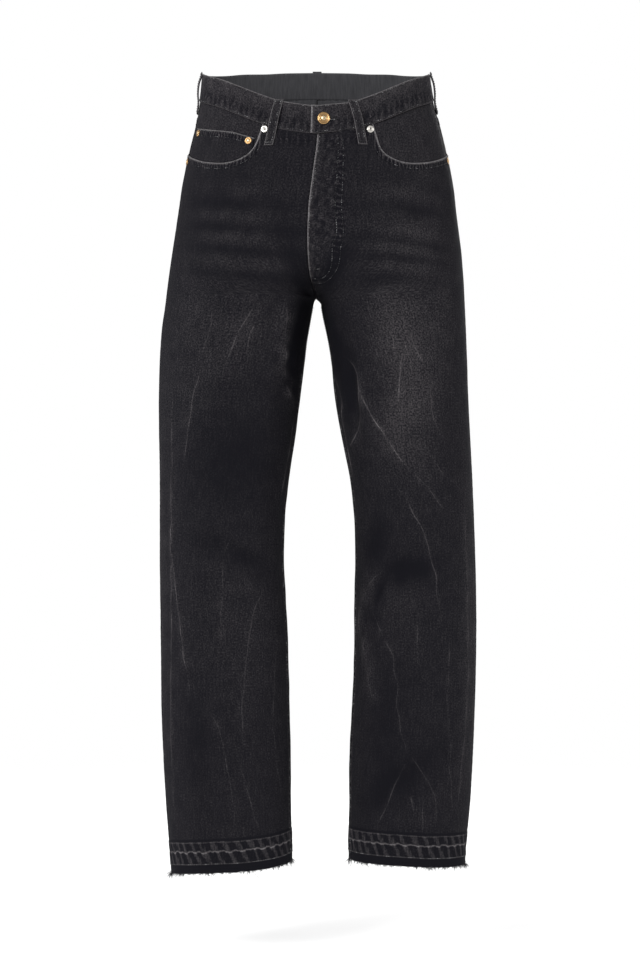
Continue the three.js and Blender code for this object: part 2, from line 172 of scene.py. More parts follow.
# The largest drape folds of each side and face, the same as in the solids: share, height,
# length, width, depth (a trough is below 0) and lean in degrees.
FOLDS = {
    (RIGHT, FRONT): (
        (0.27, -330, 90, 13, 3.5, 0), (0.12, -345, 75, 16, -5, 6), (0.38, -635, 60, 15, -4, -62),
        (0.42, -605, 60, 16, 3, -62), (0.55, -960, 90, 18, -4, -6), (0.32, -245, 70, 10, -2.5, 80),
    ),
    (LEFT, FRONT): (
        (0.2, -420, 55, 12, -6, 4), (0.27, -415, 70, 11, 4.5, -4), (0.36, -655, 50, 14, -4.5, -58),
        (0.27, -690, 55, 12, 4, -40), (0.42, -950, 55, 15, -4, -50), (0.32, -240, 70, 10, -2.5, -78),
    ),
    (RIGHT, BACK): (
        (0.5, -330, 90, 14, -4, 74), (0.48, -585, 70, 14, -5, 66), (0.5, -640, 60, 15, 4, -60),
        (0.55, -930, 90, 16, -4, 8),
    ),
    (LEFT, BACK): (
        (0.5, -336, 90, 14, -4, -72), (0.52, -600, 70, 15, -5, -64), (0.45, -655, 60, 14, 4, 58),
        (0.5, -900, 90, 16, -4, -8),
    ),
}


def along(rows, column, at):
    """Cubic Hermite curve through a column of a table. Each row's slope is the rise over
    the run between its neighbours, and the ends are held outside the table."""
    xs, ys = rows[:, 0], rows[:, column]
    if xs[0] > xs[-1]:
        xs, ys = xs[::-1], ys[::-1]
    slopes = np.empty(len(xs))
    slopes[1:-1] = (ys[2:] - ys[:-2]) / (xs[2:] - xs[:-2])
    slopes[0] = (ys[1] - ys[0]) / (xs[1] - xs[0])
    slopes[-1] = (ys[-1] - ys[-2]) / (xs[-1] - xs[-2])
    where = np.clip(at, xs[0], xs[-1])
    i = np.clip(np.searchsorted(xs, where) - 1, 0, len(xs) - 2)
    step = xs[i + 1] - xs[i]
    u = (where - xs[i]) / step
    rise = ys[i + 1] - ys[i]
    start, end = slopes[i] * step, slopes[i + 1] * step
    return ys[i] + u * (start + u * (3 * rise - 2 * start - end + u * (start + end - 2 * rise)))


def ramp(value, low, high):
    """0 below low, 1 above high and a smooth step 3u^2 - 2u^3 between them."""
    u = np.clip((value - low) / (high - low), 0, 1)
    return u * u * (3 - 2 * u)


def bell(value, width):
    """exp(-(value / width)^2)"""
    return np.exp(-((value / width) ** 2))


def signed_power(value, power):
    return np.sign(value) * np.abs(value) ** power


def waist_seam(face, share):
    return along(WAIST_SEAM, 1 if face == FRONT else 2, share)


def scoop_edge(share):
    drop = np.where(share < SCOOP_START, 0, along(SCOOP, 1, share))
    return waist_seam(FRONT, share) - drop


def yoke_seam(share):
    return -70 + 28 * share


def hem(side, share):
    return along(HEM, SIDE_COLUMN[side], share)


def centre_line(face, z):
    if face == FRONT:
        return along(FLY_EDGE, 1, z)
    return CROTCH_X * np.clip(1 - (z - CROTCH_Z) / BACK_RISE, 0, 1)


def seam_angle(face, z):
    """Where the section starts above the crotch: a quarter turn times
    (1 - (1 - share)^2)^0.75, where share is the part of the rise climbed."""
    share = np.clip((z - CROTCH_Z) / (FRONT_RISE if face == FRONT else BACK_RISE), 0, 1)
    return (math.pi / 2) * (1 - (1 - share) ** 2) ** 0.75


def bare(side, face, share, z):
    """A point of the garment before folds. Each half is a rounded section whose x and y are
    powers of the cosine and sine of an angle, from the centre seam or the inseam at share
    0 to the side seam at share 1."""
    share, z = np.broadcast_arrays(np.asarray(share, float), np.asarray(z, float))
    above = z > CROTCH_Z
    outer = along(BODY, SIDE_COLUMN[side], z)
    roundness = 2 / along(BODY, POWER_COLUMN, z)
    start = seam_angle(face, z)
    below = CROTCH_Z - z
    first = np.where(above, start, -face * INSEAM_TURN * ramp(below, 0, 120))
    angle = first + (math.pi - first) * share
    width = 1 + signed_power(np.cos(np.where(above, start, 0)), roundness)
    reach = (1 + signed_power(np.cos(angle), roundness)) / width
    parted = np.clip(below / 8, 0, 1)
    gap = along(INNER_LEG, SIDE_COLUMN[side], z) * np.sqrt(parted)
    inner = np.where(above, centre_line(face, z) * side, CROTCH_X * side * (1 - parted) + gap)
    inner = inner + SEAM_GAP / 2
    x = side * (outer - (outer - inner) * reach)
    near, far = along(BODY, FACE_COLUMN[face], z), along(BODY, FACE_COLUMN[-face], z)
    y = face * np.where(angle < 0, far, near) * signed_power(np.sin(angle), roundness)
    return np.stack([x, y, z], axis=-1)


def outward(side, face, share, z):
    """The unit normal: the cross product of the steps around and up, turned outwards."""
    a = np.clip(share, 0.01, 0.99)
    around = bare(side, face, a + 0.01, z) - bare(side, face, a - 0.01, z)
    upward = bare(side, face, a, z + 3) - bare(side, face, a, z - 3)
    normal = np.cross(around, upward)
    normal /= np.linalg.norm(normal, axis=-1, keepdims=True)
    return -normal if side * face > 0 else normal


def mm_per_share(side, face, share, z):
    """Millimetres of cloth for one unit of share near a point."""
    a = np.clip(share, 0.01, 0.99)
    step = bare(side, face, a + 0.01, z) - bare(side, face, a - 0.01, z)
    return np.linalg.norm(step, axis=-1) / 0.02


# Long soft creases and thin pale crease lines of each side and face: width, depth, paleness,
# and the line as (share, height) points from its upper end.
CREASES = {
    (RIGHT, FRONT): (
        (3.0, 0.5, 0.5, ((0.435, -294), (0.474, -343), (0.501, -383))),
        (3.0, 0.5, 0.55, ((0.604, -383), (0.639, -427), (0.671, -487), (0.693, -522))),
        (5.0, 1.3, 0.6, ((0.771, -504), (0.766, -613), (0.73, -685), (0.68, -776),
         (0.634, -834))),
        (3.0, 0.4, 0.3, ((0.776, -822), (0.816, -1006))),
        (3.5, 0.4, 0.25, ((0.4, -595), (0.459, -640), (0.474, -721), (0.489, -775))),
        (3.5, 0.5, 0.35, ((0.206, -667), (0.319, -721), (0.378, -820), (0.388, -902))),
        (3.5, 0.4, 0.25, ((0.577, -826), (0.486, -884), (0.435, -1010))),
        (3.0, 0.4, 0.3, ((0.415, -911), (0.307, -1011))),
        (3.0, 0.4, 0.25, ((0.143, -732), (0.199, -868), (0.123, -983))),
        (8.0, 3.2, 0.4, ((0.3, -285), (0.248, -342), (0.219, -369), (0.16, -408),
         (0.066, -433))),
        (7.0, -2.2, 0.0, ((0.16, -270), (0.175, -330), (0.11, -395), (0.05, -425))),
        (4.0, 0.8, 0.5, ((0.06, -445), (0.075, -500), (0.098, -560))),
        (2.5, 0.3, 0.3, ((0.6, -300), (0.585, -335), (0.61, -366))),
        (2.5, 0.3, 0.3, ((0.4, -318), (0.42, -345), (0.405, -372))),
        (3.0, 0.7, 0.5, ((0.774, -380), (0.772, -500), (0.776, -695), (0.8, -850),
         (0.82, -1000))),
        (2.5, 0.4, 0.2, ((0.9, -420), (0.9, -700), (0.91, -1010))),
        (9.0, 0.8, 0.0, ((0.66, -136), (0.36, -140), (0.1, -148))),
        (9.0, 1.0, 0.0, ((0.62, -169), (0.36, -176), (0.11, -184))),
        (9.0, 1.0, 0.0, ((0.6, -197), (0.34, -207), (0.08, -212))),
        (9.0, 0.9, 0.0, ((0.56, -231), (0.32, -240), (0.1, -244))),
    ),
    (LEFT, FRONT): (
        (3.5, 1.0, 0.85, ((0.157, -361), (0.248, -382), (0.265, -414), (0.312, -446),
         (0.423, -500), (0.472, -522))),
        (3.0, 0.6, 0.5, ((0.371, -531), (0.479, -585), (0.55, -640), (0.585, -684),
         (0.607, -731))),
        (3.0, 0.5, 0.4, ((0.472, -522), (0.582, -554), (0.639, -572))),
        (3.0, 0.5, 0.4, ((0.56, -491), (0.639, -522), (0.784, -549))),
        (2.5, 0.4, 0.45, ((0.356, -338), (0.371, -350), (0.383, -370))),
        (2.5, 0.4, 0.5, ((0.489, -352), (0.464, -393), (0.445, -433))),
        (2.5, 0.4, 0.4, ((0.531, -331), (0.545, -350), (0.575, -374))),
        (2.5, 0.3, 0.35, ((0.442, -326), (0.46, -340), (0.452, -360))),
        (2.5, 0.3, 0.3, ((0.499, -346), (0.512, -366), (0.518, -392))),
        (2.5, 0.3, 0.3, ((0.62, -395), (0.6, -430), (0.63, -462))),
        (5.0, 1.8, 0.75, ((0.266, -376), (0.262, -405), (0.236, -441), (0.167, -473),
         (0.06, -494))),
        (4.5, 1.4, 0.9, ((0.03, -380), (0.108, -426), (0.07, -449), (0.071, -500),
         (0.045, -540))),
        (9.0, 2.6, 0.25, ((0.327, -642), (0.214, -667), (0.13, -699), (0.1, -732), (0.172, -777),
         (0.253, -858))),
        (9.0, -2.4, 0.0, ((0.44, -655), (0.3, -668), (0.22, -700), (0.2, -740))),
        (3.0, 0.5, 0.45, ((0.194, -699), (0.349, -775), (0.388, -843), (0.447, -911))),
        (3.0, 0.3, 0.25, ((0.474, -721), (0.481, -785))),
        (4.0, 0.9, 0.45, ((0.447, -911), (0.4, -938), (0.292, -1003))),
        (3.5, 0.5, 0.35, ((0.447, -901), (0.585, -956), (0.619, -1003))),
        (3.0, 0.4, 0.35, ((0.474, -956), (0.486, -1002))),
        (3.0, 0.4, 0.3, ((0.528, -956), (0.536, -1010))),
        (4.0, 0.8, 0.4, ((0.816, -527), (0.791, -595), (0.796, -685), (0.806, -822),
         (0.781, -913), (0.739, -1013))),
        (3.0, 0.4, 0.25, ((0.658, -712), (0.649, -799), (0.683, -912), (0.734, -1004))),
        (2.5, 0.4, 0.25, ((0.9, -420), (0.89, -700), (0.9, -1010))),
        (9.0, 0.8, 0.0, ((0.2, -157), (0.4, -148), (0.58, -133))),
        (9.0, 1.0, 0.0, ((0.2, -206), (0.42, -197), (0.66, -184))),
        (8.0, 1.0, 0.0, ((0.22, -226), (0.4, -218), (0.6, -208))),
        (9.0, 0.9, 0.0, ((0.26, -249), (0.4, -243), (0.62, -233))),
    ),
    (RIGHT, BACK): (
        (5.0, 1.2, 0.3, ((0.12, -275), (0.38, -305), (0.7, -300))),
        (6.0, -1.6, 0.0, ((0.14, -300), (0.42, -328), (0.74, -318))),
        (5.0, 1.1, 0.35, ((0.2, -560), (0.42, -588), (0.75, -572))),
        (4.0, 0.9, 0.4, ((0.25, -600), (0.5, -622), (0.7, -606))),
        (4.0, 0.9, 0.35, ((0.24, -655), (0.5, -668), (0.68, -655))),
        (4.0, 0.7, 0.3, ((0.35, -705), (0.42, -800), (0.4, -900))),
        (4.0, 0.6, 0.3, ((0.62, -860), (0.56, -950), (0.6, -1010))),
    ),
    (LEFT, BACK): (
        (5.0, 1.3, 0.3, ((0.1, -283), (0.4, -318), (0.66, -306))),
        (6.0, -1.5, 0.0, ((0.12, -308), (0.42, -338), (0.7, -326))),
        (5.0, 1.2, 0.35, ((0.18, -574), (0.45, -600), (0.78, -590))),
        (4.0, 0.8, 0.4, ((0.22, -618), (0.5, -640), (0.76, -630))),
        (4.0, 0.9, 0.35, ((0.3, -672), (0.5, -690), (0.72, -676))),
        (4.0, 0.7, 0.3, ((0.5, -720), (0.44, -820), (0.5, -930))),
        (4.0, 0.6, 0.3, ((0.3, -880), (0.38, -950), (0.33, -1004))),
    ),
}

# Broad fading where the cloth is worn (above 0) and darker places (below 0) of each side
# and face: share, height, half length, half width, tone, and lean in degrees. The darker
# places are mostly painted shade, in the troughs of folds and creases, in the crotch and on
# the inner thighs.
TONES = {
    (RIGHT, FRONT): (
        (0.52, -330, 70, 40, 0.025, 12), (0.42, -335, 60, 24, 0.017, 12),
        (0.7, -300, 60, 22, 0.02, 0), (0.66, -420, 80, 24, 0.015, 12), (0.85, -400, 90, 24, 0.012, 0),
        (0.42, -505, 60, 60, -0.04, 0), (0.38, -633, 62, 17, -0.035, -62),
        (0.13, -340, 80, 17, -0.045, 8), (0.07, -225, 60, 16, -0.027, 0),
        (0.62, -880, 60, 24, -0.03, 0), (0.35, -730, 110, 60, 0.02, 0),
        (0.88, -640, 160, 20, 0.02, 0), (0.5, -165, 60, 60, -0.026, 0), (0.38, -140, 8, 70, 0.013, 4),
        (0.36, -160, 7, 70, -0.03, 4), (0.36, -176, 8, 72, 0.021, 5), (0.34, -192, 6, 66, -0.03, 5),
        (0.34, -206, 9, 72, 0.024, 5), (0.32, -223, 6, 66, -0.036, 5), (0.32, -240, 8, 66, 0.018, 5),
        (0.34, -257, 7, 70, -0.03, 5),
    ),
    (LEFT, FRONT): (
        (0.52, -318, 60, 34, 0.05, -6), (0.45, -345, 70, 26, 0.045, -6),
        (0.56, -420, 80, 32, 0.055, -12), (0.42, -450, 60, 26, 0.05, -24),
        (0.5, -510, 46, 24, 0.025, 30), (0.72, -300, 70, 22, 0.03, 0),
        (0.84, -720, 260, 26, 0.045, 0), (0.95, -700, 300, 8, 0.03, 0),
        (0.17, -400, 50, 15, -0.063, -10), (0.1, -345, 50, 16, -0.08, -10),
        (0.13, -246, 26, 12, -0.08, -10), (0.24, -618, 30, 18, -0.06, -20),
        (0.44, -652, 15, 34, -0.08, 0), (0.4, -940, 70, 22, -0.05, -50),
        (0.32, -860, 90, 30, -0.03, 0), (0.36, -715, 60, 40, 0.02, 0), (0.48, -165, 60, 60, 0.013, 0),
        (0.42, -145, 8, 62, 0.021, -6), (0.44, -166, 7, 60, -0.03, -6),
        (0.56, -117, 7, 52, 0.021, -8), (0.44, -182, 6, 54, 0.013, -6),
        (0.43, -197, 8, 64, 0.038, -6), (0.42, -212, 5, 60, -0.024, -6),
        (0.42, -222, 7, 62, 0.029, -6), (0.43, -234, 6, 60, -0.03, -5),
        (0.44, -246, 8, 60, 0.025, -5), (0.42, -262, 7, 62, -0.024, -5),
    ),
    (RIGHT, BACK): (
        (0.45, -190, 70, 60, 0.07, 0), (0.5, -430, 90, 55, 0.05, 0), (0.5, -315, 10, 80, -0.08, 2),
        (0.48, -604, 10, 60, -0.06, 4), (0.5, -860, 120, 50, 0.03, 0),
    ),
    (LEFT, BACK): (
        (0.45, -190, 70, 60, 0.07, 0), (0.5, -440, 90, 55, 0.05, 0), (0.5, -325, 10, 80, -0.08, -3),
        (0.5, -620, 10, 60, -0.06, -4), (0.5, -850, 120, 50, 0.03, 0),
    ),
}


def leaned(share, z, at_share, at_z, lean):
    """Distances beside and ahead of a place, on axes turned by the lean."""
    across, up = (share - at_share) * FOLD_SPAN, z - at_z
    turn = math.radians(lean)
    beside = across * math.cos(turn) + up * math.sin(turn)
    ahead = up * math.cos(turn) - across * math.sin(turn)
    return beside, ahead


def eased(points, steps=4):
    """A smooth line through points, each stretch divided into steps."""
    rows = np.column_stack([np.arange(len(points)), np.array(points, float)])
    at = np.linspace(0, len(points) - 1, steps * (len(points) - 1) + 1)
    return np.stack([along(rows, 1, at), along(rows, 2, at)], axis=-1)


def line_distance(share, z, points):
    """Signed distance from a line of points to each place, and how strong the line is
    there: 1 along it, easing to 0 at both of its ends."""
    at = np.stack([share * FOLD_SPAN, z], axis=-1)
    line = eased([(s * FOLD_SPAN, h) for s, h in points])
    runs = np.linalg.norm(np.diff(line, axis=0), axis=1)
    nearest = np.full(at.shape[:-1], 1e9)
    signed = np.full(at.shape[:-1], 1e9)
    passed = np.zeros(at.shape[:-1])
    for i, run in enumerate(runs):
        way = (line[i + 1] - line[i]) / run
        step = at - line[i]
        ahead = np.clip(step @ way, 0, run)
        gap = step - ahead[..., None] * way
        distance = np.linalg.norm(gap, axis=-1)
        side = np.where(way[0] * step[..., 1] - way[1] * step[..., 0] < 0, -1, 1)
        closer = distance < nearest
        nearest = np.where(closer, distance, nearest)
        signed = np.where(closer, side * distance, signed)
        passed = np.where(closer, (runs[:i].sum() + ahead) / runs.sum(), passed)
    return signed, ramp(passed, 0, 0.18) * ramp(1 - passed, 0, 0.18)


def rolling(share, z, seed, wave, count=14):
    """A sum of plane waves of about one wavelength, with seeded directions and starts."""
    draws = np.random.default_rng(seed)
    total = np.zeros(np.shape(share))
    for turn, start, stretch in draws.uniform(0, 1, (count, 3)):
        turn, pace = turn * math.pi, 2 * math.pi / (wave * (0.7 + 0.8 * stretch))
        total += np.sin(pace * (share * FOLD_SPAN * math.cos(turn) + z * math.sin(turn)) + 6.3 * start)
    return total / math.sqrt(count)


def crease_distance(share, z, points):
    """As line_distance, for a crease that wanders a millimetre or two from its line."""
    signed, strength = line_distance(share, z, points)
    seed = int(points[0][0] * 1000) + int(-points[0][1])
    strength = strength * (0.75 + 0.35 * rolling(share, z, seed + 1, 30, 5)).clip(0.15, 1.3)
    return signed + 1.1 * rolling(share, z, seed, 46, 6), strength


def drape(side, face, share, z):
    """How far the cloth stands out from its bare form: the drape folds, the creases and a
    faint unevenness, all fading to nothing at the seams."""
    share, z = np.broadcast_arrays(share, z)
    folds = np.zeros(share.shape)
    for at_share, at_z, length, width, depth, lean in FOLDS[side, face]:
        beside, ahead = leaned(share, z, at_share, at_z, lean)
        folds += depth * bell(beside, width) * bell(ahead, length)
    creases = 0.22 * rolling(share, z, 5 + side + 3 * face, 46)
    for width, depth, _, points in CREASES[side, face]:
        distance, strength = crease_distance(share, z, points)
        creases += depth * strength * bell(distance, width)
    edge = np.abs(2 * np.clip(share, 0, 1) - 1)
    return folds * (1 - edge ** 6) + creases * (1 - edge ** 16)


def cloth(side, face, share, z, out):
    """A point of the cloth, out millimetres outside its outer face."""
    lift = drape(side, face, share, z) + out
    return bare(side, face, share, z) + outward(side, face, share, z) * lift[..., None]


def across_seams(side, face, share, z, out):
    """As cloth, where a share below 0 goes on across the centre to the other half and one
    above 1 goes on across the side seam to the other face."""
    share, z, out = np.broadcast_arrays(share, z, out)
    here = cloth(side, face, np.clip(share, 0, 1), z, out)
    centre = cloth(-side, face, np.clip(-share, 0, 1), z, out)
    round_side = cloth(side, -face, np.clip(2 - share, 0, 1), z, out)
    share = share[..., None]
    return np.where(share < 0, centre, np.where(share > 1, round_side, here))


def from_centre(side, face, share, z):
    """Millimetres of cloth from the centre seam or inseam."""
    return share * mm_per_share(side, face, share / 2, z)


def from_side(side, face, share, z):
    """Millimetres of cloth from the side seam."""
    return (1 - share) * mm_per_share(side, face, (1 + share) / 2, z)


SCOOP_SHARES = (0.251, 0.262, 0.275, 0.3, 0.34, 0.4, 0.47, 0.6, 0.75, 0.885, 1)
SCOOP_LINE = [(share, float(scoop_edge(share))) for share in SCOOP_SHARES]

# The lap of the fly: its lift, the shares where it is whole and gone, the heights where it
# fades out at its foot, and the lowest place of its worn edge.
FLY_LIFT = 1.3
FLY_FULL, FLY_END = 0.122, 0.15
FLY_GONE, FLY_WHOLE = -268, -245
FLY_TOE = -262

# The width of a felled seam, and the heights of the three lines of a let-down hem.
FELL = 10.5
HEM_UPPER = 43
HEM_MIDDLE = 29
HEM_LOWER = 12.5

# Rows of stitching: how far a double row's rows are from their edge, the place midway
# between them and the reach of the puckered band about it.
DOUBLE_ROW = (2.2, 8.2)
ROW_MIDDLE = 5.2
ROW_REACH = 4.6
NO_BAND = 5

# The length of one slanting ridge of a let-down hem and its gap, and of a stitch's ripple.
ROPE_PITCH = 16
PUCKER_PITCH = 7.5


# The middle of the J of stitching that holds the fly, as (share, height) points.
FLY_MIDDLE = (
    (0.085, -70), (0.092, -100), (0.096, -143), (0.099, -176), (0.104, -210), (0.124, -229),
    (0.135, -243.5), (0.126, -253.5), (0.095, -260.5), (0.06, -262.5), (0, -261),
)


def fly_lift(side, face, share, z):
    if side != LEFT or face != FRONT:
        return np.zeros(np.shape(share))
    return FLY_LIFT * (1 - ramp(share, FLY_FULL, FLY_END)) * ramp(z, FLY_GONE, FLY_WHOLE)


def pucker(distance, place, reach, seed, pitch=PUCKER_PITCH):
    """Little ripples that a row of stitching draws up beside it: a sine along the seam with
    a wandering start, dying away over reach."""
    wander = 2.4 * np.sin(place / 23 + seed) + 1.6 * np.sin(place / 9.7 + 2 * seed)
    strength = 0.7 + 0.3 * np.sin(place / 31 + 3 * seed)
    ripple = np.sin(2 * math.pi * place / pitch + wander + 0.12 * distance)
    return strength * ripple * bell(distance, reach)


def hem_rope(side, face, share, above_hem):
    """The slanting ridges left in a let-down hem, between its upper and lower lines. They
    lean the same way on both legs."""
    across = -side * face * share * FOLD_SPAN + 0.5 * above_hem
    wave = np.sin(2 * math.pi * across / ROPE_PITCH + 1.3 * np.sin(across / 17) + side)
    above = ramp(above_hem, HEM_LOWER - 2, HEM_LOWER + 4)
    below = ramp(-above_hem, -HEM_UPPER - 1, 5 - HEM_UPPER)
    return wave * above * below


def felled(distance):
    """1 on the doubled cloth beside a felled seam and 0 beyond it."""
    return ramp(-distance, -FELL - 1.5, -FELL + 0.5)


def sewn(side, face, share, z):
    """How far a leg panel is lifted by what is sewn on it: the fly, the felled inseam and
    centre seams, the turned pocket edge, the pressed side seam and the let-down hem."""
    share, z = np.broadcast_arrays(share, z)
    centre = from_centre(side, face, share, z)
    outer = from_side(side, face, share, z)
    above_hem = z - hem(side, share)
    lift = fly_lift(side, face, share, z)
    leg = ramp(-z, -CROTCH_Z - 4, -CROTCH_Z + 10)
    if face == FRONT:
        lift = lift + 0.7 * leg * felled(centre)
        lift = lift + 0.22 * leg * pucker(centre - 5, z, 6, side)
        scoop = np.abs(line_distance(share, z, SCOOP_LINE)[0])
        hip = ramp(z, -160, -130) * ramp(share, 0.235, 0.25)
        ripples = pucker(scoop - 6, share * FOLD_SPAN, 5, side, 5.5)
        lift = lift + hip * (0.5 * ramp(-scoop, -10.5, -9) + 0.3 * ripples)
    else:
        seat = 1 - leg
        if side == LEFT:
            lift = lift + 0.7 * seat * felled(centre)
        lift = lift + 0.2 * pucker(centre - 5, z, 6, side + 2)
        below_yoke = yoke_seam(share) - z
        lift = lift + 0.25 * pucker(below_yoke, share * FOLD_SPAN, 6, side)
    lift = lift + 0.3 * ramp(-outer, -14.5, -12.5) + 0.14 * pucker(outer, z, 9, 2 * side, 11)
    above_fold = above_hem - HEM_UPPER
    lift = lift + 0.35 * bell(above_fold, 1.6) - 0.35 * bell(above_fold - 3.5, 1.6)
    lift = lift + 0.5 * hem_rope(side, face, share, above_hem) + 0.3 * bell(above_hem - HEM_LOWER, 1.3)
    return lift * ramp(share, -0.001, 0.002)


def worn(side, face, share, z):
    """How a panel is worn, with its painted shade: the broad tone, faded above 0 and painted
    shade in folds and creases below 0, and for the nearest crease line its signed
    distance and paleness."""
    share, z = np.broadcast_arrays(share, z)
    tone = np.zeros(share.shape)
    # The broad tones: fading above 0, and painted shade in folds and creases below 0.
    for at_share, at_z, length, width, amount, lean in TONES[side, face]:
        beside, ahead = leaned(share, z, at_share, at_z, lean)
        tone += amount * bell(beside, width) * bell(ahead, length)
    if face == FRONT and side == LEFT:
        placket = ramp(-share, -0.105, -0.085) * ramp(z, FLY_TOE, FLY_TOE + 10)
        tone += placket * (0.015 + 0.03 * rolling(share * 1.6, z, 77, 12))
    crease, pale = np.full(share.shape, float(FAR)), np.zeros(share.shape)
    for width, depth, paleness, points in CREASES[side, face]:
        distance, strength = crease_distance(share, z, points)
        # Each crease also tints the tone by its depth: its ridge paler, worn by rubbing, and its trough
        # darker as painted shade.
        tone += 0.02 * depth * strength * bell(distance, 1.6 * width)
        shown = paleness * strength * bell(distance, 9)
        crease = np.where(shown > pale, distance, crease)
        pale = np.maximum(shown, pale)
    return tone, crease, pale


def put_mesh(name, points, faces, fields=None, uv=None, smooth=True):
    """Makes an object from arrays of millimetre points and of faces with three or four
    corners, with one float attribute for each field and a UV map where uv is given."""
    mesh = bpy.data.meshes.new(name)
    corners = np.concatenate([np.asarray(part).reshape(-1) for part in faces]).astype(np.int32)
    counts = np.concatenate([np.full(len(part), np.shape(part)[1]) for part in faces]).astype(np.int32)
    mesh.vertices.add(len(points))
    mesh.vertices.foreach_set("co", (np.asarray(points) * MM).astype(np.float32).reshape(-1))
    mesh.loops.add(len(corners))
    mesh.loops.foreach_set("vertex_index", corners)
    mesh.polygons.add(len(counts))
    starts = np.concatenate([[0], np.cumsum(counts)[:-1]]).astype(np.int32)
    mesh.polygons.foreach_set("loop_start", starts)
    mesh.polygons.foreach_set("loop_total", counts)
    mesh.polygons.foreach_set("use_smooth", np.full(len(counts), smooth))
    for field, values in (fields or {}).items():
        layer = mesh.attributes.new(field, "FLOAT", "POINT")
        layer.data.foreach_set("value", np.asarray(values, np.float32).reshape(-1))
    if uv is not None:
        layer = mesh.uv_layers.new(name="weave")
        layer.data.foreach_set("uv", np.asarray(uv, np.float32)[corners].reshape(-1))
    mesh.update(calc_edges=True)
    mesh.validate()
    made = bpy.data.objects.new(name, mesh)
    bpy.context.scene.collection.objects.link(made)
    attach(made, "root")
    return made


# Fields of a cloth piece and their values where a piece has none: broad fading, with
# painted shade in folds and creases; distance in millimetres to a worn edge; signed distance
# to a crease line and its paleness; height above a raw hem; place across a stitched band,
# from -1 to 1; and run along that band.
FIELDS = {"wear": 0, "edge": FAR, "crease": FAR, "pale": 0, "hem": 300, "band": NO_BAND, "run": 0}

# How far a wall's four edges are drawn in, as a part of its thickness.
ROLLED = 0.33


def wall(name, place, lift, thickness, share, z, turn=1, **fields):
    """A closed wall over a grid. place(out) gives its points that far outside the cloth's
    outer face; the outer layer is at lift and the inner one a thickness below it, with the
    four edges drawn in so that they look rolled. Turn is -1 where its weave is mirrored."""
    lift = np.broadcast_to(lift, share.shape).astype(float)
    border = np.zeros(share.shape)
    border[0], border[-1], border[:, 0], border[:, -1] = 1, 1, 1, 1
    outer = place(lift - border * thickness * ROLLED)
    inner = place(lift - thickness + border * thickness * ROLLED)
    rows, columns = share.shape
    at = np.arange(rows * columns).reshape(rows, columns)
    quads = np.stack([at[:-1, :-1], at[:-1, 1:], at[1:, 1:], at[1:, :-1]], axis=-1).reshape(-1, 4)
    loop = np.concatenate([at[0, :-1], at[:-1, -1], at[-1, :0:-1], at[:0:-1, 0]])
    ahead = np.roll(loop, -1)
    under = rows * columns
    rim = np.stack([ahead, loop, loop + under, ahead + under], axis=-1)
    faces = np.concatenate([quads, quads[:, ::-1] + under, rim])
    points = np.concatenate([outer.reshape(-1, 3), inner.reshape(-1, 3)])
    thick = (outer - inner).reshape(-1, 3)
    a, b, _, d = quads.T
    facing = np.cross(points[b] - points[a], points[d] - points[a])
    if (facing * thick[a]).sum() < 0:
        faces = faces[:, ::-1]
    layers = {}
    for field, default in FIELDS.items():
        value = np.broadcast_to(fields.get(field, default), share.shape)
        layers[field] = np.stack([value, value])
    layers["inside"] = np.stack([np.zeros(share.shape), np.ones(share.shape)])
    uv = np.stack([turn * share * FOLD_SPAN * MM, z * MM], axis=-1).reshape(-1, 2)
    return put_mesh(name, points, [faces], layers, np.concatenate([uv, uv]))


def spaced(*stretches):
    """Column or row places: each stretch is (start, end, steps)."""
    parts = [np.linspace(start, end, steps, endpoint=False) for start, end, steps in stretches]
    return np.concatenate(parts + [[stretches[-1][1]]])


def past_seams(side, face, share, z):
    """Carries the outermost columns a little past the seams, so that neighbouring pieces
    meet with no slit of light between them."""
    lap = SEAM_LAP / mm_per_share(side, face, share, z)
    return np.where(share <= 0, -lap, np.where(share >= 1, 1 + lap, share))


def finish_cloth(piece, nodes):
    """Gives a cloth piece its denim and hides the nodes it stands for."""
    piece.data.materials.append(bpy.data.materials["washed_denim"])
    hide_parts(*nodes)
    return piece


CLOTH = 1.2
FRONT_COLUMNS = spaced(
    (0, 0.06, 8), (0.06, 0.16, 10), (0.16, 0.245, 8), (0.245, 0.325, 18), (0.325, 0.94, 58),
    (0.94, 1, 8),
)
BACK_COLUMNS = spaced((0, 0.06, 9), (0.06, 0.94, 84), (0.94, 1, 8))
LEG_ROWS = spaced((0, 0.06, 28), (0.06, 1, 190))
RISE_ROWS = spaced((0, 1, 92))[1:] ** 1.2


# The puckered bands of a leg panel: the middle and reach of the one at the side seam, the
# middle of the scoop's with the shares and height it keeps to, the reach of the fly's with
# its lowest height and its shares, and the middle, reach and shares of the gathers.
SIDE_BAND = 7
SCOOP_MIDDLE, SCOOP_BAND, SCOOP_FROM, SCOOP_LOW = 5.6, 8, 0.24, -170
FLY_REACH, FLY_LOW, FLY_WIDE = 5.5, -270, 0.2
GATHERS, GATHERS_REACH, GATHERS_FROM, GATHERS_TO = 11, 9, 0.012, 0.235
RAGGED, RAGGED_WAVE = 0.5, 7


def between_rows(distance, middle=ROW_MIDDLE, reach=ROW_REACH):
    """The place across a band: 0 in its middle and from -1 to 1 over its reach."""
    return (distance - middle) / reach


def fainter(band, least):
    """A place across a band kept at least so far from the middle, where the band is faint."""
    return np.sign(band) * np.maximum(np.abs(band), least)


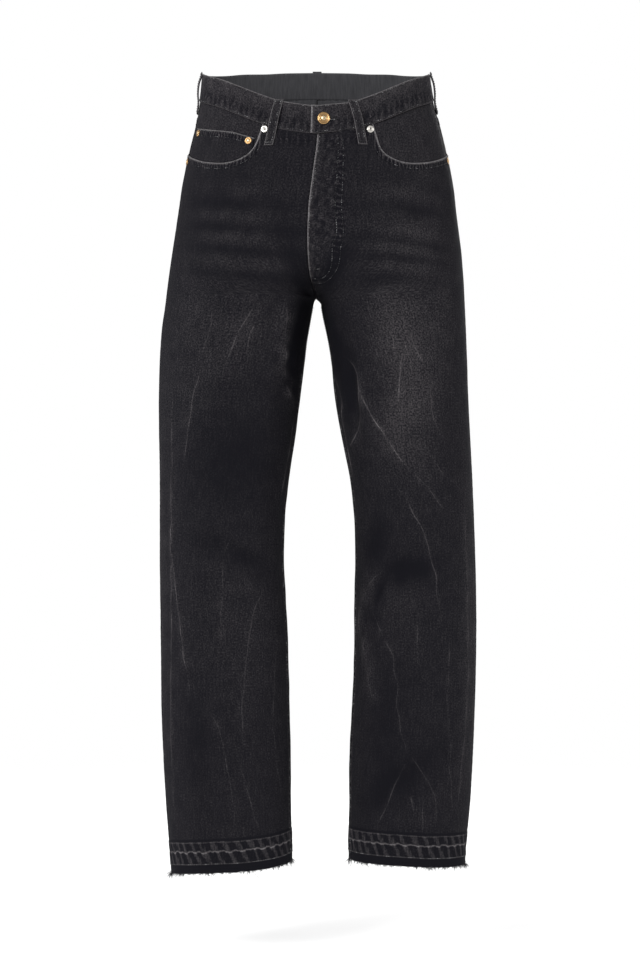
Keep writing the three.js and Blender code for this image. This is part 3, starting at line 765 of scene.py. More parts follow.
def panel_fields(side, face, share, z):
    """The broad fading and painted shade, worn edges and puckered bands of a leg panel."""
    tone, crease, pale = worn(side, face, share, z)
    centre, outer = from_centre(side, face, share, z), from_side(side, face, share, z)
    at_fell = (np.abs(centre - FELL) < np.abs(crease)) & (z < CROTCH_Z - 8) & (face == FRONT)
    crease, pale = np.where(at_fell, centre - FELL, crease), np.where(at_fell, 0.28, pale)
    edge = np.minimum(outer + 0.9, FAR)
    edge = np.where(z < CROTCH_Z, np.minimum(edge, centre + 1.0), edge)
    band, run = np.minimum(centre - ROW_MIDDLE, FAR) / ROW_REACH, z
    if face == BACK and side == RIGHT:
        band = np.where(z > CROTCH_Z, NO_BAND, band)
    at_side = between_rows(outer, SIDE_BAND, SIDE_BAND)
    band = np.where(np.abs(at_side) < np.abs(band), fainter(at_side, 0.9), band)
    if face == FRONT:
        scoop = np.abs(line_distance(share, z, SCOOP_LINE)[0])
        under_pocket = share > SCOOP_FROM
        edge = np.where(under_pocket, np.minimum(edge, np.maximum(scoop - 1.1, 0)), edge)
        at_scoop = (np.abs(scoop - 5.4) < SCOOP_BAND) & (z > SCOOP_LOW) & under_pocket
        band = np.where(at_scoop, between_rows(scoop, SCOOP_MIDDLE), band)
        run = np.where(at_scoop, share * FOLD_SPAN * 1.35, run)
        at_fly = NO_BAND
        if side == LEFT:
            at_fly = fainter(line_distance(share, z, FLY_MIDDLE)[0] / FLY_REACH, 0.7)
            fly_edge = np.hypot(centre, np.maximum(FLY_TOE - z, 0))
            edge = np.minimum(edge, np.maximum(fly_edge - 0.5, 0))
        band = np.where((z > FLY_LOW) & (share < FLY_WIDE), at_fly, band)
        gathers = between_rows(waist_seam(FRONT, share) - z, GATHERS, GATHERS_REACH)
        gathered = (np.abs(gathers) < 1.3) & (share > GATHERS_FROM) & (share < GATHERS_TO)
        band = np.where(gathered, fainter(gathers, 0.93), band)
        run = np.where(gathered, share * FOLD_SPAN * 1.1, run)
    above_hem = z - hem(side, share)
    return dict(wear=tone, crease=crease, pale=pale, edge=edge, hem=above_hem, band=band, run=run)


def leg_panel(side, face):
    """A panel from the hem to the pocket scoop and waist seam, or to the yoke."""
    columns = FRONT_COLUMNS if face == FRONT else BACK_COLUMNS
    tucked = np.where((face == BACK) | (columns < SCOOP_START), TUCKED, 0)
    top = (scoop_edge(columns) if face == FRONT else yoke_seam(columns)) + tucked - SEAM_GAP / 2
    ragged = rolling(columns, 0 * columns, 61 + side + 3 * face, RAGGED_WAVE)
    low = hem(side, columns) + RAGGED * ragged
    leg = low + (CROTCH_Z - low) * LEG_ROWS[:, None]
    rise = CROTCH_Z + (top - CROTCH_Z) * RISE_ROWS[:, None]
    z = np.concatenate([leg, rise])
    share = past_seams(side, face, np.broadcast_to(columns, z.shape), z)
    return wall(
        f"{'front' if face == FRONT else 'back'}_{'right' if side == RIGHT else 'left'}_denim",
        lambda out: cloth(side, face, share, z, out),
        sewn(side, face, share, z), CLOTH, share, z, turn=-side * face,
        **panel_fields(side, face, share, z),
    )


def yoke(side):
    """The yoke between a back panel and the waistband, felled over the panel below it."""
    columns = spaced((0, 0.06, 8), (0.06, 0.94, 78), (0.94, 1, 8))
    rows = spaced((0, 1, 34))[:, None]
    low, high = yoke_seam(columns) + SEAM_GAP / 2, waist_seam(BACK, columns) + TUCKED
    z = low + (high - low) * rows
    share = past_seams(side, BACK, np.broadcast_to(columns, z.shape), z)
    up, centre = z - low, from_centre(side, BACK, share, z)
    lift = 0.6 * felled(up) + 0.25 * pucker(up - 5, share * FOLD_SPAN, 6, side)
    if side == LEFT:
        lift = np.maximum(lift, 0.7 * felled(centre))
    name = "yoke_right_denim" if side == RIGHT else "yoke_left_denim"
    return wall(name, lambda out: cloth(side, BACK, share, z, out), lift, CLOTH, share, z,
                wear=0.04, edge=np.minimum(up + 0.4, from_side(side, BACK, share, z) + 1.2),
                band=between_rows(up, 5.4), run=share * FOLD_SPAN)


FACING_OUT = -1.6
FACING_UNDER = 18


def pocket_facing(side):
    """The cloth seen inside a scoop. It runs on under the front panel."""
    columns = spaced((0.235, 0.325, 16), (0.325, 1, 56))
    rows = spaced((0, 1, 32))[:, None]
    low = scoop_edge(np.maximum(columns, 0.275)) - FACING_UNDER
    high = waist_seam(FRONT, columns) + TUCKED * 0.6
    z = low + (high - low) * rows
    share = past_seams(side, FRONT, np.broadcast_to(columns, z.shape), z)
    name = "pocket_facing_right_denim" if side == RIGHT else "pocket_facing_left_denim"
    return wall(name, lambda out: cloth(side, FRONT, share, z, out),
                FACING_OUT, CLOTH, share, z, wear=0.035)


# The top edge of the coin pocket: share, and height.
COIN_TOP = np.array([(0.285, -71.5), (0.43, -61.5), (0.84, -50)])
COIN_THICKNESS = 0.85


def coin_top(share):
    return np.interp(share, COIN_TOP[:, 0], COIN_TOP[:, 1])


def coin_pocket():
    """The part of the coin pocket that shows above the scoop, with its turned top edge."""
    columns = spaced((0.285, 0.84, 58))
    rows = spaced((0, 1, 24))[:, None]
    low, high = scoop_edge(columns) + 0.3, coin_top(columns)
    z = low + (high - low) * rows
    share = np.broadcast_to(columns, z.shape)
    down = high - z
    lift = -0.4 + 0.3 * ramp(-down, -11, -9.5) + 0.22 * pucker(down - 5, share * FOLD_SPAN, 5, 1, 6)
    return wall("coin_pocket_denim", lambda out: cloth(RIGHT, FRONT, share, z, out),
                lift, COIN_THICKNESS, share, z, wear=0.01, edge=np.minimum(down, FAR),
                band=between_rows(down, 5.4), run=share * FOLD_SPAN * 1.25)


# A patch pocket: its place, its half width above and below, its height with its blunt
# point and the slope of its top, how far it is out, and its faded middle's height and sizes.
PATCH_SHARE, PATCH_TOP = 0.46, -92
PATCH_HALF, PATCH_LOWER_HALF = 76, 66
PATCH_HEIGHT, PATCH_POINT, PATCH_TILT = 146, 17, 5
PATCH_OUT = 0.5
PATCH_FADED, PATCH_FADED_HALF, PATCH_FADED_REACH = -165, 50, 55


def patch_place(side, across, down):
    """The share and height of a place on a patch pocket: across runs from -1 at the centre
    side to 1 at the outer side, and down from 0 at the top to 1 at the lower edge."""
    half = PATCH_HALF + (PATCH_LOWER_HALF - PATCH_HALF) * down
    length = PATCH_HEIGHT + PATCH_POINT * (1 - np.abs(across))
    z = PATCH_TOP - PATCH_TILT * (1 - across) - down * length
    share = PATCH_SHARE + across * half / mm_per_share(side, BACK, np.full(np.shape(z), PATCH_SHARE), z)
    return share, z


def patch_lift(across, down):
    """The rise of a patch pocket: a slight fullness in the middle, the doubled hem at its
    top and the turned edge round the rest."""
    rim = np.minimum((1 - np.abs(across)) * PATCH_HALF, (1 - down) * PATCH_HEIGHT)
    full = 0.9 * (1 - across ** 2) * 4 * down * (1 - down)
    top = 0.5 * ramp(-down * PATCH_HEIGHT, -22, -20)
    turned = 0.35 * ramp(-rim, -10, -8.5) * ramp(down, 0.1, 0.16)
    return full + top + turned + 0.22 * pucker(rim - 5, (across + down) * 80, 4, 3, 6)


def patch_pocket(side):
    """A patch pocket on a back panel. Its sides draw in downwards to a blunt point."""
    across = spaced((-1, 1, 70))[None, :] * np.ones((74, 1))
    down = spaced((0, 1, 73))[:, None] * np.ones((1, 71))
    share, z = patch_place(side, across, down)
    rim = np.minimum((1 - np.abs(across)) * PATCH_HALF, np.minimum(down, 1 - down) * PATCH_HEIGHT)
    name = "back_pocket_right_denim" if side == RIGHT else "back_pocket_left_denim"
    beside, ahead = (share - PATCH_SHARE) * FOLD_SPAN, z - PATCH_FADED
    at_side = (1 - np.abs(across)) * PATCH_HALF < np.minimum(down, 1 - down) * PATCH_HEIGHT
    run = np.where(at_side, down * PATCH_HEIGHT, across * PATCH_HALF)
    lift = PATCH_OUT + CLOTH + patch_lift(across, down)
    faded = bell(beside, PATCH_FADED_HALF) * bell(ahead, PATCH_FADED_REACH)
    return wall(name, lambda out: cloth(side, BACK, share, z, out),
                lift, CLOTH + patch_lift(across, down) * 0.999, share, z,
                wear=0.02 + 0.07 * faded, edge=rim, band=between_rows(rim), run=run)


# The ends of the waistband from the centre front, where its lap begins and is whole, and
# the middle and reach of the puckered band along its lower edge.
BAND_UNDER, BAND_OVER = 15, -8
LAP_FROM, LAP_TO = 38, 20
BAND_MIDDLE, BAND_REACH = 9, 8


def band_stretches():
    """The waistband's run as stretches of (side, face, shares, lap): from under the left
    front, round by the right side and the back, to the end that laps over the start."""
    front = mm_per_share(LEFT, FRONT, 0, 0)
    under, over = BAND_UNDER / front, BAND_OVER / front
    lap_from, lap_to = LAP_FROM / front, LAP_TO / front
    rest = np.linspace(1, lap_from, 84)[1:]
    last = np.linspace(lap_from, over, 20)[1:]
    return [
        (LEFT, FRONT, np.linspace(under, 0.004, 7), np.zeros(7)),
        (RIGHT, FRONT, np.linspace(0.004, 1, 96), np.zeros(96)),
        (RIGHT, BACK, np.linspace(1, 0, 96)[1:], np.zeros(95)),
        (LEFT, BACK, np.linspace(0, 1, 96)[1:], np.zeros(95)),
        (LEFT, FRONT, rest, np.zeros(len(rest))),
        (LEFT, FRONT, last, ramp(-last, -lap_from, -lap_to)),
    ]


def band_height(face, share, up):
    return waist_seam(face, np.abs(share)) + SEAM_GAP / 2 + BAND_HEIGHT * up


def band_point(side, face, share, up, out):
    return across_seams(side, face, share, band_height(face, share, up), out)


def run_along(points):
    """The distance run to each point of a path, from 0 at its first."""
    return np.concatenate([[0], np.cumsum(np.linalg.norm(np.diff(points, axis=0), axis=1))])


def waistband():
    """One strip round the waist, drawn in a little by the stitching along both edges."""
    up = spaced((0, 1, 22))[:, None]
    stretches = band_stretches()
    lap = np.concatenate([stretch[3] for stretch in stretches])[None, :]
    middle = np.concatenate(
        [band_point(side, face, shares, 0.5, 0 * shares) for side, face, shares, _ in stretches]
    )
    run = run_along(middle)[None, :]
    share = run / FOLD_SPAN * np.ones_like(up)
    z = BAND_HEIGHT * up * np.ones_like(run)

    def place(out):
        start, parts = 0, []
        for side, face, shares, _ in stretches:
            stop = start + len(shares)
            places = shares[None, :] * np.ones_like(up)
            parts.append(band_point(side, face, places, up, out[:, start:stop]))
            start = stop
        return np.concatenate(parts, axis=1)

    low, high = BAND_HEIGHT * up, BAND_HEIGHT * (1 - up)
    rolls = 0.25 * pucker(low - 3, run, 8, 1, 9) + 0.16 * pucker(high - 3, run, 6, 2, 7)
    body = 0.5 * (1 - (2 * up - 1) ** 2) + 0.25 * rolling(share, z, 3, 40)
    ends = np.minimum(run, run.max() - run)
    lift = BAND_PROUD + lap * BAND_LAP + rolls + body * np.minimum(ends / 12, 1)
    edge = np.minimum(np.minimum(low + 1.3, high + 0.3), np.maximum(run.max() - run - 1.0, 0))
    tone = 0.036 + 0.03 * bell(high - 10, 8) + 0.014 * rolling(share, z, 11, 18)
    return wall("waistband_denim", place, lift, 2.4 + body * 0.5, share, z, wear=tone, edge=edge,
                band=fainter(between_rows(low, BAND_MIDDLE, BAND_REACH), 0.86),
                run=run * 0.8 * np.ones_like(z))


def fly_shield():
    """The strip behind the fly edge, which the lapped side closes on."""
    across = spaced((-22, 34, 22))[None, :]
    z = np.linspace(float(waist_seam(FRONT, 0)) - 0.3, -172, 40)[:, None] * np.ones_like(across)
    share = across / mm_per_share(LEFT, FRONT, 0, z)
    return wall("fly_shield_denim", lambda out: across_seams(LEFT, FRONT, share, z, out),
                FACING_OUT - 0.2, CLOTH, share, z)


# Belt loops: name, side, face, and the share and height of the top and of the lower end.
BELT_LOOPS = (
    ("belt_loop_front_right", RIGHT, FRONT, 0.175, -20, 0.205, -82),
    ("belt_loop_front_left", LEFT, FRONT, 0.155, -21, 0.19, -81),
    ("belt_loop_side_right", RIGHT, BACK, 1, 31, 1, -27),
    ("belt_loop_side_left", LEFT, BACK, 1, 31, 1, -27),
    ("belt_loop_back", LEFT, BACK, 0, 46, 0, -13),
)
LOOP_WIDTH, LOOP_THICKNESS = 12, 1.6
# How far a belt loop stands off the panels, by the place along it.
LOOP_SEAT = np.array(
    [(0, 1.1), (0.1, 1.5), (0.28, 3.6), (0.52, 3.2), (0.68, 1.3), (0.8, 0.5), (1, 0.3)]
)


def loop_place(row, along_loop, across):
    """The share, height and seat of a place on a belt loop: across runs over its width in
    millimetres and along_loop from 0 at its top end to 1 at its lower end."""
    _, side, face, top_share, top, low_share, low = row
    z = top + (low - top) * along_loop
    middle = top_share + (low_share - top_share) * along_loop
    share = middle + across / mm_per_share(side, face, middle, z)
    return share, z, along(LOOP_SEAT, 1, along_loop)


def belt_loop(row):
    """A belt loop: a folded strip, sewn down at both ends and standing off between them."""
    name, side, face = row[:3]
    across = np.linspace(-0.5, 0.5, 15)[None, :] * LOOP_WIDTH * np.ones((64, 1))
    down = np.linspace(0, 1, 64)[:, None] * np.ones((1, 15))
    share, z, seat = loop_place(row, down, across)
    body = 0.35 * bell(np.abs(across) - 3.4, 1.3) - 0.25 * bell(across, 1.6)
    rim = np.minimum(LOOP_WIDTH / 2 - np.abs(across), np.minimum(down, 1 - down) * 60)
    uv_share, uv_z = across / FOLD_SPAN, -60 * down
    return wall(name + "_denim", lambda out: across_seams(side, face, share, z, out + seat),
                LOOP_THICKNESS + body, LOOP_THICKNESS + body * 0.9, uv_share, uv_z,
                wear=0.02, edge=rim + 0.7)


def turned(name, profile, sides, side, share, z, out, finish, slot, nodes):
    """A round fastening: a profile of radius and height carried round the cloth's normal,
    with its two poles closed by fans."""
    seat = cloth(side, FRONT, np.array([share]), np.array([float(z)]), np.array([out]))[0]
    axis = outward(side, FRONT, np.array([share]), np.array([float(z)]))[0]
    beside = np.cross((0, 0, 1), axis)
    beside /= np.linalg.norm(beside)
    upward = np.cross(axis, beside)
    rows = np.array(profile, float)
    steps = np.linspace(0, 1, 4, endpoint=False)
    fine = np.concatenate([np.interp(steps + i, np.arange(len(rows)), rows[:, c])[:, None]
                           for i in range(len(rows) - 1) for c in (0, 1)], axis=1).T
    radius = np.concatenate([fine[0::2].reshape(-1), rows[-1:, 0]])[1:-1]
    height = np.concatenate([fine[1::2].reshape(-1), rows[-1:, 1]])[1:-1]
    turn = np.linspace(0, 2 * math.pi, sides, endpoint=False)
    ring = np.cos(turn)[:, None] * beside + np.sin(turn)[:, None] * upward
    body = seat + radius[:, None, None] * ring + height[:, None, None] * axis
    poles = [seat + rows[0, 1] * axis, seat + rows[-1, 1] * axis]
    points = np.concatenate([body.reshape(-1, 3), poles])
    count = len(radius)
    at = np.arange(count * sides).reshape(count, sides)
    beyond = np.roll(at, -1, axis=1)
    quads = np.stack([at[:-1], beyond[:-1], beyond[1:], at[1:]], axis=-1).reshape(-1, 4)
    low = np.stack([beyond[0], at[0], np.full(sides, count * sides)], axis=-1)
    high = np.stack([at[-1], beyond[-1], np.full(sides, count * sides + 1)], axis=-1)
    spread = np.concatenate([np.repeat(radius, sides), [0, 0]])
    piece = put_mesh(name, points, [quads, low, high], {"radius": spread})
    piece.data.materials.append(bpy.data.materials[finish])
    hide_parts(*nodes)
    return piece


# Radius and height of the button's face and of a rivet's, from the back to the middle.
BUTTON_PROFILE = (
    (0, 0), (7.4, 0), (8.1, 0.3), (8.4, 0.9), (8.3, 1.6), (7.8, 2.1), (7.1, 2.35), (6.5, 2.2),
    (6.1, 1.9), (5.7, 1.85), (5.3, 2.05), (4.9, 2.05), (4.5, 1.85), (3.9, 1.85), (3.5, 2.1),
    (3.1, 2.6), (2.2, 3.0), (1.1, 3.18), (0, 3.22),
)
RIVET_PROFILE = (
    (0, 0), (4.5, 0), (4.8, 0.25), (4.75, 0.7), (4.3, 1.05), (3.6, 1.2), (3.0, 1.1), (2.5, 0.9),
    (2.2, 0.95), (1.9, 1.4), (1.4, 1.75), (0.7, 1.92), (0, 1.96),
)
# Rivets: name, side, share, height, distance out, finish and slot.
RIVETS = (
    ("rivet_scoop_right", RIGHT, 0.236, -60, 0.4, "pale_rivet", "nickel"),
    ("rivet_scoop_left", LEFT, 0.232, -60, 0.4, "pale_rivet", "nickel"),
    ("rivet_coin_inner", RIGHT, 0.318, -75, 0.3, "copper_rivet", "copper"),
    ("rivet_coin_outer", RIGHT, 0.775, -58, 0.4, "copper_rivet", "copper"),
    ("rivet_side_right", RIGHT, 0.885, -95, 0.6, "copper_rivet", "copper"),
    ("rivet_side_left", LEFT, 0.885, -94, 0.6, "copper_rivet", "copper"),
)
BUTTON_PLACE = (LEFT, 0.018, -47, 4.1)


def stitches(points, normals, pitch, thread, gap=0.25):
    """Stitches along a path as rounded grains: eight corners in two rings of four about
    the stitch and a tip at each end. Ends sit in the cloth and the middle stands on it."""
    run = run_along(points)
    count = max(int(run[-1] / pitch), 1)
    start = np.arange(count) * run[-1] / count
    end = start + (1 - gap) * run[-1] / count

    def at(distance, values):
        return np.stack([np.interp(distance, run, values[:, i]) for i in range(3)], axis=-1)

    out = at((start + end) / 2, normals)
    out /= np.linalg.norm(out, axis=-1, keepdims=True)
    a, b = at(start, points), at(end, points)
    way = (b - a) / np.linalg.norm(b - a, axis=-1, keepdims=True)
    across = np.cross(out, way)
    half = thread / 2
    places = [a - 0.1 * half * out]
    for share in (0.22, 0.78):
        middle = a + (b - a) * share + out * half * 0.55
        places += [middle + half * way for way in (across, out, -across, -out)]
    places.append(b - 0.1 * half * out)
    return np.stack(places, axis=1)


# The corners of a stitch's sides and of the fans at its two tips.
TURNS = [(i, (i + 1) % 4) for i in range(4)]
STITCH_QUADS = np.array([(1 + i, 1 + j, 5 + j, 5 + i) for i, j in TURNS])
STITCH_TIPS = np.array(
    [(0, 1 + j, 1 + i) for i, j in TURNS] + [(9, 5 + i, 5 + j) for i, j in TURNS]
)


def sew(name, rows):
    """Joins rows of stitches into one piece of thread."""
    grains = np.concatenate(rows)
    start = (np.arange(len(grains)) * 10)[:, None, None]
    quads = (STITCH_QUADS[None] + start).reshape(-1, 4)
    tips = (STITCH_TIPS[None] + start).reshape(-1, 3)
    piece = put_mesh(name, grains.reshape(-1, 3), [quads, tips])
    piece.data.materials.append(bpy.data.materials["dark_thread"])
    return piece


def seam_row(side, face, share, z, out, sizes):
    """A row of stitches over the cloth through (share, height) places, out millimetres up."""
    share, z = np.broadcast_arrays(np.asarray(share, float), np.asarray(z, float))
    points = across_seams(side, face, share, z, out)
    normals = outward(side, face, np.clip(share, 0, 1), z)
    return stitches(points, normals, sizes.stitch / MM, sizes.thread / MM)


def beside_line(points, offset, steps=90):
    """A line of (share, height) points moved sideways by some millimetres, finely divided."""
    line = np.array([(s * FOLD_SPAN, h) for s, h in points], float)
    run = run_along(line)
    at = np.linspace(0, run[-1], steps)
    fine = np.stack([np.interp(at, run, line[:, 0]), np.interp(at, run, line[:, 1])], axis=-1)
    way = np.gradient(fine, axis=0)
    kernel = np.ones(7) / 7
    padded = np.pad(way, ((3, 3), (0, 0)), "edge")
    way = np.stack([np.convolve(padded[:, i], kernel, "valid") for i in (0, 1)], axis=-1)
    way /= np.linalg.norm(way, axis=-1, keepdims=True)
    moved = fine + offset * np.stack([way[:, 1], -way[:, 0]], axis=-1)
    return moved[:, 0] / FOLD_SPAN, moved[:, 1]


# The J of stitching that holds the fly, as (share, height) points from the waist down.
FLY_STITCHING = (
    (
        (0.075, -72), (0.081, -100), (0.084, -143), (0.086, -176), (0.092, -210), (0.11, -230),
        (0.119, -245), (0.104, -255), (0.066, -260), (0.01, -258),
    ),
    (
        (0.095, -72), (0.103, -100), (0.108, -143), (0.111, -176), (0.116, -210), (0.138, -227),
        (0.15, -241), (0.146, -252), (0.123, -261), (0.081, -265), (0.014, -264),
    ),
)

# The heights between which rows of stitching run: beside the fly edge, down the centre back
# of the panels and down the centre back of the yokes.
FLY_EDGE_ROW = (-70, -256)
SEAT_ROW = (-76, CROTCH_Z + 14)
YOKE_ROW = (2, -66)


def sewn_row(side, face, share, z, sizes, out=0.1):
    """A row of stitches that follows what is sewn on the panel under it."""
    return seam_row(side, face, share, z, sewn(side, face, share, z) + out, sizes)


def beside_centre(side, face, offset, z):
    """The share some millimetres from the centre seam or inseam."""
    return offset / mm_per_share(side, face, 0.01, z)


def hem_row(side, face, sizes):
    share = np.linspace(0.01, 0.99, 150)
    return sewn_row(side, face, share, hem(side, share) + HEM_LOWER, sizes, 0.05)


def front_stitching(sizes):
    rows = []
    for side in (RIGHT, LEFT):
        for offset in DOUBLE_ROW:
            share, z = beside_line(SCOOP_LINE[2:], offset)
            keep = share < 0.985
            rows.append(seam_row(side, FRONT, share[keep], z[keep], 0.75, sizes))
        for offset in DOUBLE_ROW:
            z = np.linspace(CROTCH_Z - 12, float(hem(side, 0)) + 4, 420)
            rows.append(sewn_row(side, FRONT, beside_centre(side, FRONT, offset, z), z, sizes))
        rows.append(hem_row(side, FRONT, sizes))
    for line in FLY_STITCHING:
        share, z = beside_line(eased(line), 0)
        rows.append(sewn_row(LEFT, FRONT, share, z, sizes))
    z = np.linspace(*FLY_EDGE_ROW, 80)
    rows.append(sewn_row(LEFT, FRONT, beside_centre(LEFT, FRONT, 2.4, z), z, sizes))
    for offset, first in ((2.0, 0.3), (8.6, 0.33)):
        share = np.linspace(first, 0.83, 70)
        rows.append(seam_row(RIGHT, FRONT, share, coin_top(share) - offset, 0.0, sizes))
    return sew("front_stitching", rows)


def patch_row(side, across, down, sizes):
    """A row of stitches over a patch pocket."""
    share, z = patch_place(side, across, down)
    out = PATCH_OUT + CLOTH + patch_lift(across, down) + 0.05
    return seam_row(side, BACK, share, z, out, sizes)


def back_stitching(sizes):
    rows = []
    for side in (RIGHT, LEFT):
        share = np.linspace(0.01, 0.985, 120)
        for offset in DOUBLE_ROW:
            rows.append(seam_row(side, BACK, share, yoke_seam(share) + offset, 0.75, sizes))
        rows.append(hem_row(side, BACK, sizes))
        for inset in (2.4, 8.4):
            at_side, at_foot = 1 - inset / PATCH_HALF, 1 - inset / PATCH_HEIGHT
            straight, downward = np.full(60, at_side), np.linspace(0.012, at_foot, 60)
            across = np.concatenate([-straight, np.linspace(-at_side, at_side, 60), straight])
            upward = np.linspace(at_foot, 0.012, 60)
            down = np.concatenate([downward, np.full(60, at_foot), upward])
            rows.append(patch_row(side, across, down, sizes))
        for depth in (3, 17.5):
            down = np.full(80, depth / PATCH_HEIGHT)
            rows.append(patch_row(side, np.linspace(-0.97, 0.97, 80), down, sizes))
    for offset in DOUBLE_ROW:
        z = np.linspace(*SEAT_ROW, 90)
        rows.append(sewn_row(LEFT, BACK, beside_centre(LEFT, BACK, offset, z), z, sizes))
        z = np.linspace(*YOKE_ROW, 30)
        rows.append(seam_row(LEFT, BACK, beside_centre(LEFT, BACK, offset, z), z, 0.8, sizes))
    return sew("back_stitching", rows)


def band_stitching(sizes):
    """Rows along both edges of the waistband, and down its lapped end."""
    rows = []
    inset, out = 2.2 / BAND_HEIGHT, 0.95
    for up in (inset, 1 - inset):
        for side, face, shares, lap in band_stretches()[1:]:
            fine = np.linspace(shares[0], shares[-1], 160)
            lifted = np.full(160, out)
            if lap.any():
                lifted = out + BAND_LAP * np.interp(-fine, -shares, lap)
            rows.append(seam_row(side, face, fine, band_height(face, fine, up), lifted, sizes))
    front = mm_per_share(LEFT, FRONT, 0, 0)
    share = np.full(20, (BAND_OVER + 2.4) / front)
    up = np.linspace(0.07, 0.93, 20)
    points = band_point(LEFT, FRONT, share, up, np.full(20, BAND_PROUD + BAND_LAP + 0.15))
    normals = outward(LEFT, FRONT, np.full(20, 0.01), band_height(FRONT, share, up))
    rows.append(stitches(points, normals, sizes.stitch / MM, sizes.thread / MM))
    return sew("band_stitching", rows)


# The step of a bar tack's zigzag, and the share and height of the one on the fly.
TACK_STEP = 0.55
FLY_TACK = (0.05, -247)


def zigzag(side, face, share, z, width, length, out):
    """A bar tack: a close zigzag, width millimetres long across the cloth."""
    steps = np.arange(int(width / TACK_STEP))
    scale = mm_per_share(side, face, min(max(share, 0.01), 0.99), z)
    shares = share + (steps * TACK_STEP - width / 2) / scale
    heights = z + np.where(steps % 2, 0.5, -0.5) * length
    points = across_seams(side, face, shares, heights, out)
    normals = outward(side, face, np.clip(shares, 0, 1), heights)
    return stitches(points, normals, length * 0.9, 0.5, 0.02)


def loop_stitching(sizes):
    """Two rows down each belt loop and a bar tack across each of its ends."""
    rows = []
    for row in BELT_LOOPS:
        side, face = row[1:3]
        for across in (-3.4, 3.4):
            down = np.linspace(0.03, 0.97, 60)
            share, z, seat = loop_place(row, down, across)
            rows.append(seam_row(side, face, share, z, seat + LOOP_THICKNESS + 0.35, sizes))
        for down in (0.045, 0.94):
            share, z, seat = loop_place(row, np.array([down]), 0.0)
            rows.append(zigzag(side, face, float(share[0]), float(z[0]), LOOP_WIDTH - 1.5, 2.0,
                               float(seat[0]) + LOOP_THICKNESS + 0.3))
    for side in (RIGHT, LEFT):
        for across in (-0.95, 0.95):
            share, z = patch_place(side, np.array([across]), np.array([0.03]))
            rows.append(zigzag(side, BACK, float(share[0]), float(z[0]), 8, 2.4, 2.7))
    rows.append(zigzag(LEFT, FRONT, *FLY_TACK, 9, 2.0, 1.5))
    return sew("bar_tacks", rows)


# A buttonhole: its middle beside the button, its half length and its half width.
HOLE_ACROSS, HOLE_HALF, HOLE_WIDE = 9, 11, 2.1


def buttonhole():
    """The worked edge of the buttonhole: close stitches set square to a long ring."""
    side, share, z, _ = BUTTON_PLACE
    turn = np.linspace(0, 2 * math.pi, 74, endpoint=False)
    across = HOLE_HALF * np.cos(turn)
    up = HOLE_WIDE * signed_power(np.sin(turn), 0.35)
    scale = float(mm_per_share(LEFT, FRONT, 0.02, z))
    inner = np.stack([share + (HOLE_ACROSS + across) / scale, z + up * 0.45], axis=-1)
    outer = np.stack([share + (HOLE_ACROSS + across * 1.1) / scale, z + up * 1.25], axis=-1)
    lift = BAND_PROUD + BAND_LAP + 0.75
    places = np.stack([inner, outer], axis=1).reshape(-1, 2)
    points = across_seams(side, FRONT, places[:, 0], places[:, 1], lift).reshape(-1, 2, 3)
    normals = outward(side, FRONT, np.clip(places[:, 0], 0, 1), places[:, 1]).reshape(-1, 2, 3)
    rows = [stitches(points[i], normals[i], 9, 0.55, 0.0) for i in range(len(points))]
    return sew("buttonhole", rows)


def fibres(name, roots, ways, lengths, thickness, bend, draws):
    """Loose fibres as three-sided tapering tubes of four rings. Each leaves its root along
    its way and turns aside by bend, with a seeded side and amount."""
    count = len(roots)
    aside = draws.normal(0, 1, (count, 3))
    aside -= (aside * ways).sum(axis=1, keepdims=True) * ways
    aside /= np.linalg.norm(aside, axis=1, keepdims=True)
    third = np.cross(ways, aside)
    rings = []
    for share in (0, 0.35, 0.7, 1.0):
        straight = ways * (share * lengths)[:, None]
        middle = roots + straight + aside * (bend * lengths * share ** 2)[:, None]
        size = thickness * (1 - 0.75 * share)
        for turn in (0, 2.1, 4.2):
            rings.append(middle + size * (math.cos(turn) * aside + math.sin(turn) * third))
    points = np.stack(rings, axis=1)
    faces = np.array([(3 * i + k, 3 * i + (k + 1) % 3, 3 * i + 3 + (k + 1) % 3, 3 * i + 3 + k)
                      for i in range(3) for k in range(3)])
    caps = np.array([(0, 2, 1), (9, 10, 11)])
    start = (np.arange(count) * 12)[:, None, None]
    piece = put_mesh(name, points.reshape(-1, 3),
                     [(faces[None] + start).reshape(-1, 4), (caps[None] + start).reshape(-1, 3)])
    piece.data.materials.append(bpy.data.materials["dark_thread"])
    return piece


# The fibres of one hem's front or back, those of the tuft at each seam, and their thickness.
FRAY_COUNT, TUFT_COUNT, FRAY_THICKNESS = 640, 16, 0.42


